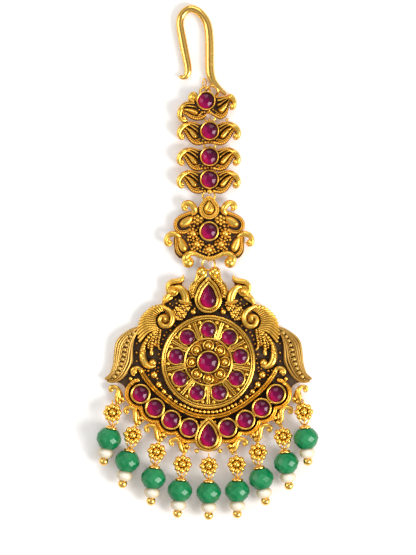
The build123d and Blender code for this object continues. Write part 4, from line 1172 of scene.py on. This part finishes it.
def rosette_half():
    """Left half of the rosette, about the middle of its stone."""
    relief = Relief(1.3, 1.1, 0.06)
    scroll = ((-5.6, 5.35, 1.8, 0.34), (-6.3, 5.6, 1.9, 0.46), (-6.5, 6.3, 2.0, 0.54),
              (-6.05, 6.95, 2.05, 0.62), (-5.25, 7.1, 2.1, 0.72), (-4.45, 6.75, 2.15, 0.8),
              (-3.85, 6.05, 2.15, 0.82), (-3.6, 5.3, 2.0, 0.74), (-4.0, 4.6, 1.8, 0.6))
    relief.tube(smooth(scroll, 5), 16)
    relief.ball(-5.85, 6.15, 2.2, 0.56, 16, 10)
    relief.granules(smooth([(-3.1, 4.9), (-3.5, 4.4), (-4.2, 4.1)], 6), 0.24, 0.4, 1.95)
    outline = [(-3.5, 4.4), (-4.6, 4.75), (-6.2, 4.15), (-7.7, 3.4), (-8.5, 2.2), (-8.55, 1.0),
               (-7.9, 0.05), (-6.7, -0.35), (-5.4, -0.1), (-4.4, 1.0), (-3.5, 2.4)]
    pad = [(-4.0, 3.8), (-5.5, 3.65), (-6.85, 2.85), (-7.45, 1.85), (-7.0, 1.0), (-5.85, 0.9), (-4.75, 1.5),
           (-4.1, 2.6)]
    rim = [(-4.8, 0.6), (-5.6, 0.25), (-6.7, 0.05), (-7.6, 0.35), (-8.1, 1.15), (-8.1, 2.15), (-7.4, 3.1),
           (-6.1, 3.8), (-4.4, 4.45)]
    paisley(relief, outline, pad, [(-6.5, 1.9), (-4.7, 3.2)], rim)
    side = ((-9.4, -2.85, 1.7, 0.34), (-9.95, -3.35, 1.8, 0.48), (-10.6, -3.05, 1.9, 0.56),
            (-10.7, -2.1, 2.0, 0.6), (-10.2, -1.15, 2.1, 0.68), (-9.2, -0.65, 2.15, 0.74),
            (-8.2, -0.75, 2.1, 0.7), (-7.4, -1.3, 1.9, 0.5))
    relief.tube(smooth(side, 5), 16)
    relief.ball(-10.0, -2.55, 2.2, 0.58, 16, 10)
    outline = [(-7.9, -0.5), (-8.8, -1.6), (-8.75, -3.9), (-8.5, -5.5), (-7.2, -6.8), (-5.8, -6.0),
               (-4.6, -4.8), (-4.8, -2.9), (-6.2, -1.2)]
    pad = [(-7.8, -1.0), (-7.9, -2.2), (-7.75, -3.5), (-7.2, -4.7), (-6.3, -5.3), (-5.5, -4.8),
           (-5.4, -3.6), (-6.0, -2.4), (-6.8, -1.5)]
    rim = [(-8.3, -1.1), (-8.4, -2.5), (-8.3, -4.0), (-7.95, -5.2), (-7.1, -6.1)]
    paisley(relief, outline, pad, [(-6.4, -4.1), (-7.3, -1.9)], rim)
    moustache = ((-5.5, -7.9, 2.0, 0.85), (-6.0, -6.9, 2.1, 0.85), (-5.55, -6.0, 2.15, 0.82),
                 (-4.5, -5.5, 2.1, 0.74), (-3.5, -5.6, 2.0, 0.6), (-2.5, -6.1, 1.95, 0.5),
                 (-1.25, -6.65, 1.9, 0.45), (0, -6.9, 1.9, 0.45))
    relief.tube(smooth(moustache, 5), 16)
    relief.ball(-5.2, -7.75, 2.0, 1.42, 22, 14)
    relief.granules(smooth([(-3.6, -5.2), (-2.4, -5.75), (-1.2, -6.3), (0, -6.5)], 8), 0.26, 0.5, 2.25)
    flower_head(relief, -4.0, -0.55)
    flower_head(relief, -3.0, -3.2)
    for a, b, _ in on_circle(6, 0.9):
        relief.ball(-2.85 + a, 2.8 + b, 1.9, 0.45, 12, 8)
    relief.ball(-2.85, 2.8, 2.2, 0.5, 14, 9)
    for x, y, r in ((-4.3, 2.2, 0.36), (-3.75, 1.35, 0.36), (-4.75, 1.35, 0.26), (-5.25, -2.1, 0.36),
                    (-5.2, -1.4, 0.3), (-4.5, -2.2, 0.3), (-1.55, -3.3, 0.36), (-1.5, -5.1, 0.34),
                    (-2.3, -4.9, 0.3), (-4.35, -4.4, 0.36), (-3.6, -4.75, 0.3), (-1.75, 3.3, 0.34),
                    (-2.6, -1.75, 0.26), (-2.75, 0.9, 0.28), (-3.6, 3.6, 0.3), (-1.6, 2.75, 0.26),
                    (-1.6, -2.6, 0.26), (-4.9, -3.3, 0.28)):
        relief.ball(x, y, 1.75, r, 10, 7)
    return relief


def rosette():
    """The whole rosette: ground, both halves, the beaded drop on top and the setting."""
    relief = Relief(1.3, 1.1, 0.06)
    loop = np.array([(0, 8.0), (-3.0, 5.9), (-4.3, 5.4), (-4.4, 4.3), (-7.4, 2.6), (-7.8, 0.6),
                     (-7.9, -1.0), (-8.0, -4.0), (-7.6, -5.6), (-6.4, -6.2), (-5.6, -6.6), (-4.2, -6.0),
                     (-2.8, -6.2), (0, -7.3)])
    loop = np.vstack([loop, (loop[1:-1] * [-1, 1])[::-1]])
    relief.plate(anticlockwise(smooth(loop, 4, True)), 0.9, 1.5, 0.15, 1.0)
    relief.mirrored(rosette_half())
    flower_head(relief, 0, -4.55)
    bezel(relief, 0, 0, LINK_STONE, 1.3, 3.4, 0.5)
    motif = teardrop_loop(0, 5.55, 2.5, 3.3, 0.1)
    relief.plate(motif, 0.9, 1.9, 0.15, 0.55)
    for inwards, z, size, spacing in ((-0.15, 2.05, 0.28, 0.46), (-0.82, 2.2, 0.18, 0.33)):
        ring = offset(motif, inwards)
        for place in evenly(np.vstack([ring, ring[:1]]), spacing)[:-1]:
            relief.ball(place[0], place[1], z, size, 10, 7)
    relief.level_wire(offset(motif, -0.54), 2.1, 0.15, closed=True)
    relief.dome(offset(motif, -1.05), [(0, 5.4), (0, 6.9)], 1.8, 1.3)
    relief.ball(0, 5.3, 2.6, 0.75, 18, 12)
    return relief


def place_rosette():
    x, y, _ = centre_of("ruby_rosette")
    whole = Relief()
    whole.merge(rosette(), move=(x, y, 0))
    stand_eye(whole, "ring_link_rosette", -1)
    stand_eye(whole, "ring_rosette_pendant", 1)
    whole.build("rosette_looks", ANTIQUE, "rosette")
    rubies("ruby_rosette_stone", "ruby_rosette", [(x, y, LINK_STONE_RADIUS, 2.4, 4.0, 0.7)])


# ---- drops --------------------------------------------------------------------------------
# how far each piece of a drop lies from the middle of its CAD node, in millimetres
BEAD_SHIFT = 0.12        # up the pin
PEARL_SHIFT = 0.1        # up the pin
FLOWER_SHIFT = 0.3       # away from the hanger


def faceted_bead():
    """A cut rondelle, bored along +Y: rows of flat diamond facets, each row between the next two."""
    seg, widest = 10, 3.2
    shrink = cos(pi / seg)
    heights = (0.0, 0.76, 1.62, 2.42)
    radii = [widest, widest * shrink]
    for k in (1, 2):
        slope = (radii[k - 1] - radii[k] * shrink) / (heights[k] - heights[k - 1])
        radii.append(radii[k] * shrink - slope * (heights[k + 1] - heights[k]))
    rows = [(radii[k], heights[k], (k + 1) % 2) for k in (3, 2, 1, 0)]
    rows += [(radius, -height, step) for radius, height, step in rows[2::-1]]
    rows = [(0.5, rows[0][1], 0), *rows, (0.5, rows[-1][1], 0)]
    points = []
    for radius, height, step in rows:
        turn = (np.arange(seg) + step / 2) * 2 * pi / seg
        points.append(np.stack([radius * np.sin(turn), np.full(seg, height), radius * np.cos(turn)],
                               axis=1))
    faces = []
    last = (len(rows) - 1) * seg
    for i in range(seg):
        after, before = (i + 1) % seg, (i - 1) % seg
        for k in range(2, len(rows) - 2):
            left, right = (before, i) if rows[k][2] else (i, after)
            faces.append(((k - 1) * seg + i, k * seg + left, (k + 1) * seg + i, k * seg + right))
        faces += [(i, seg + i, seg + after, after), (seg + i, 2 * seg + i, seg + after),
                  (last + after, last - seg + after, last - seg + i, last + i),
                  (last - seg + after, last - 2 * seg + i, last - seg + i)]
    relief = Relief()
    relief.add(points, polygons=[list(face) for face in faces], tarnish=0)
    return relief


def turned(profile, seg=32):
    """A solid of revolution about +Y from (radius, height) rows running upwards."""
    relief = Relief()
    turn = np.arange(seg) * 2 * pi / seg
    rows = [np.stack([r * np.sin(turn), np.full(seg, h), r * np.cos(turn)], axis=1) for r, h in profile]
    relief.add(np.stack(rows), grid_faces(len(rows), seg, True), tarnish=0)
    return relief


def pearl_shape():
    """A slightly flattened pearl with a dimple at each end of its bore."""
    radius, half_height, bore, dimple = 1.95, 1.5, 0.2, 1.4
    angles = [radians(a) for a in np.linspace(-80, 80, 21)]
    skin = [(radius * cos(a) ** 0.95, half_height * sin(a)) for a in angles]
    return turned([(bore, -dimple), *skin, (bore, dimple)], 40)


def pin_shape():
    """Head pin: ball at the foot, thin shank, disc cap on the bead and a pointed wire loop above."""
    relief = Relief()
    ball, drop = 1.16, 5.78       # radius of the foot's ball, and how far it is below the bead's middle
    angles = [radians(a) for a in range(-90, 91, 9)]
    relief.merge(turned([(ball * cos(a), ball * sin(a) - drop) for a in angles]))
    shank = 0.2
    relief.merge(turned([(shank, -5.0), (shank, 3.2)], 12))
    cap = [(0.2, 2.42), (1.2, 2.42), (1.4, 2.52), (1.5, 2.78), (1.4, 3.04), (1.15, 3.18), (0.6, 3.22),
           (0.05, 3.24)]
    relief.merge(turned(cap))
    loop = smooth([(0, 3.1, 0), (0.4, 3.5, 0.05), (0.85, 3.98, 0.1), (1.12, 4.5, 0.1), (0.95, 5.0, 0.05),
                   (0, 5.3, 0), (-0.95, 5.0, -0.05), (-1.12, 4.5, -0.1), (-0.85, 3.98, -0.1),
                   (-0.4, 3.5, -0.05)], 5, True)
    relief.tube(np.column_stack([loop, np.full(len(loop), 0.23)]), 10, True)
    relief.tarnish = [t * 0.6 for t in relief.tarnish]
    return relief


def seated(relief, origin, along, face):
    """The relief built about its own axes, placed with +Y to `along` and +Z to `face`."""
    along = along / np.linalg.norm(along)
    face = face - along * np.dot(face, along)
    face = face / np.linalg.norm(face)
    across = np.cross(along, face)
    placed = Relief()
    placed.merge(relief)
    placed.points = [p[:, :1] * across + p[:, 1:2] * along + p[:, 2:3] * face + origin
                     for p in placed.points]
    return placed


def flower():
    """Eight balls about one, on a thin disc, with small loops at the top and bottom."""
    relief = Relief(-0.9, 0.8)
    relief.lathe(0, 0, [(0.01, -0.35), (1.7, -0.35), (1.8, -0.15), (1.7, 0.05), (0.01, 0.05)], 32,
                 tarnish=0.4)
    circle, petal, middle = 1.64, 0.76, 0.92
    loop_place, loop_radius, loop_wire = 2.55, 0.55, 0.18
    for x, y, _ in on_circle(8, circle):
        relief.ball(x, y, 0.15, petal, 18, 12)
    relief.ball(0, 0, 0.3, middle, 20, 14)
    for y in (-loop_place, loop_place):
        relief.loop_in_plane((0, y, -0.1), (0, 1, 0), (0, 0, 1), loop_radius, loop_radius, loop_wire, 20)
    return relief


def flower_axes(number):
    """Middle, hanging direction and facing direction of a flower, from the CAD node's own points."""
    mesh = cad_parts[f"flower_{number}"].data
    points = np.empty(len(mesh.vertices) * 3)
    mesh.vertices.foreach_get("co", points)
    points = points.reshape(-1, 3) / MM
    _, _, axes = np.linalg.svd(points - points.mean(0), full_matrices=False)
    along = axes[0] if axes[0][1] > 0 else -axes[0]
    face = axes[2] if axes[2][2] > 0 else -axes[2]
    return centre_of(f"flower_{number}"), along, face


def place_drops():
    """The nine drops, each piece turned as its CAD node lies."""
    bead_form, pearl_form, pin_form, flower_form = faceted_bead(), pearl_shape(), pin_shape(), flower()
    up = np.array([0.0, 0.0, 1.0])
    spin = radians(25)        # turns one facet of each bead to the key light
    to_light = np.array([sin(spin), 0, cos(spin)])
    for number in range(1, 10):
        bead = centre_of(f"green_bead_{number}")
        pearl = centre_of(f"pearl_{number}")
        along = (bead - pearl) / np.linalg.norm(bead - pearl)
        bead = bead + along * BEAD_SHIFT
        pearl = pearl + along * PEARL_SHIFT
        middle, hang, face = flower_axes(number)
        middle = middle - hang * FLOWER_SHIFT
        cut = seated(bead_form, bead, along, to_light)
        cut.build(f"green_bead_{number}_cut", GREEN, f"green_bead_{number}", flat=True)
        seated(pearl_form, pearl, along, up).build(f"pearl_{number}_round", PEARL, f"pearl_{number}")
        seated(pin_form, bead, along, up).build(f"head_pin_{number}_wire", POLISHED, f"head_pin_{number}")
        balls = seated(flower_form, middle, hang, face)
        balls.build(f"flower_{number}_balls", ANTIQUE, f"flower_{number}")


def place_hook():
    """The long hook: a wire that swells along its shank and tapers behind the first link, with its eye."""
    relief = Relief(0, 0.5)
    line = smooth([(-6.9, 71.15, 0.5), (-6.2, 71.05, 0.6), (-5.5, 71.45, 0.74), (-5.1, 72.3, 0.88),
                   (-5.1, 73.5, 0.95), (-5.4, 75.2, 0.98), (-5.95, 77.8, 1.02), (-6.45, 80.4, 1.02),
                   (-6.9, 82.8, 0.98), (-7.1, 84.4, 0.95), (-6.85, 86.1, 0.93), (-6.0, 87.4, 0.93),
                   (-4.5, 88.2, 0.95), (-2.8, 87.7, 0.98), (-1.4, 86.4, 1.0), (-0.35, 84.6, 1.03),
                   (0.15, 82.2, 1.07), (0.3, 79.0, 1.1), (0.3, 75.5, 1.1), (0.35, 73.2, 1.1),
                   (0.6, 71.5, 1.06), (1.15, 70.1, 0.95), (2.0, 69.0, 0.78), (3.1, 67.9, 0.62),
                   (4.2, 66.95, 0.45)], 6)
    height = np.minimum(0.98, 0.3 + line[:, 2])
    relief.tube(np.column_stack([line[:, :2], height, line[:, 2]]), 20, lift=0.86)
    eye, eye_radius, eye_wire, tilt = (0.9, 67.5, 0.94), 1.5, 0.36, radians(25)
    relief.loop_in_plane(eye, (1, 0, 0), (0, cos(tilt), sin(tilt)), eye_radius, eye_radius, eye_wire, 40,
                         10)
    relief.tarnish = [t * 0 for t in relief.tarnish]
    relief.build("hair_hook_wire", POLISHED, "hair_hook")


def finish_cad_parts():
    """Give the jump rings, the CAD nodes that stay in view, the gold of the links."""
    gold, _ = ANTIQUE
    for name in JOINTS:
        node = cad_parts[name]
        if not node.material_slots:
            node.data.materials.append(gold)
        for slot in node.material_slots:
            slot.material = gold


# ---- stage, light, camera -----------------------------------------------------------------
def floor_material():
    material, _, shader = new_material("floor_white")
    set_inputs(shader, {"Base Color": (0.93, 0.92, 0.91, 1), "Emission Color": (1.0, 0.95, 0.9, 1),
                        "Emission Strength": 0.12, "Roughness": 0.95, "Specular IOR Level": 0.1})
    return material


def stage():
    """A pale floor just under the jewel."""
    half_side, drop = 3.0, 0.0001
    corners = [(-half_side, -half_side, 0), (half_side, -half_side, 0), (half_side, half_side, 0),
               (-half_side, half_side, 0)]
    mesh = bpy.data.meshes.new("floor")
    mesh.from_pydata(corners, [], [(0, 1, 2, 3)])
    floor = bpy.data.objects.new("floor", mesh)
    floor.location.z = -drop
    mesh.materials.append(floor_material())
    bpy.context.scene.collection.objects.link(floor)


def area_light(name, place, size, power):
    """A softbox that looks at the middle of the jewel."""
    target = Vector((0, 0.02, 0))
    light = bpy.data.lights.new(name, "AREA")
    light.shape = "RECTANGLE"
    light.size, light.size_y = size
    light.energy = power
    obj = bpy.data.objects.new(name, light)
    obj.location = place
    obj.rotation_euler = (target - Vector(place)).to_track_quat("-Z", "Y").to_euler()
    bpy.context.scene.collection.objects.link(obj)


def lights():
    """Softboxes to the right, left and back, and a pale room with a dark ceiling over the camera."""
    area_light("key", (0.51, -0.23, 0.39), (0.32, 0.32), 4.6)
    area_light("left", (-0.5, 0.1, 0.42), (0.3, 0.4), 1.2)
    area_light("back", (0.1, 0.6, 0.5), (0.5, 0.25), 1.3)
    world = bpy.data.worlds.new("studio")
    bpy.context.scene.world = world
    world.use_nodes = True
    tree = world.node_tree
    background = tree.nodes["Background"]
    coordinates = tree.nodes.new("ShaderNodeTexCoord")
    parts = tree.nodes.new("ShaderNodeSeparateXYZ")
    tree.links.new(coordinates.outputs["Generated"], parts.inputs[0])
    sky = ramp(tree, [(0.0, (0.30, 0.28, 0.26)), (0.25, (0.34, 0.32, 0.30)), (0.5, (0.7, 0.7, 0.7)),
                      (0.9, (0.9, 0.9, 0.9)), (0.96, (0.85, 0.84, 0.82)), (0.985, (0.3, 0.27, 0.22)),
                      (1.0, (0.12, 0.11, 0.1))], parts.outputs["Z"])
    tree.links.new(sky, background.inputs["Color"])
    background.inputs["Strength"].default_value = 0.62


def camera():
    """Straight above the jewel, as far as a long lens would be."""
    distance, frame_width, sensor = 0.9, 0.104, 36       # metres, metres, millimetres
    view_middle = (-0.00008, 0.02107)
    data = bpy.data.cameras.new("overhead")
    data.sensor_fit = "HORIZONTAL"
    data.sensor_width = sensor
    data.lens = sensor * distance / frame_width
    data.clip_end = 20
    obj = bpy.data.objects.new("overhead", data)
    obj.location = (*view_middle, distance)
    bpy.context.scene.collection.objects.link(obj)
    bpy.context.scene.camera = obj


place_pendant_pieces()
place_pendant_stones()
place_links()
place_rosette()
place_drops()
place_hook()
finish_cad_parts()
stage()
lights()
camera()
bpy.context.scene.view_settings.view_transform = "Standard"
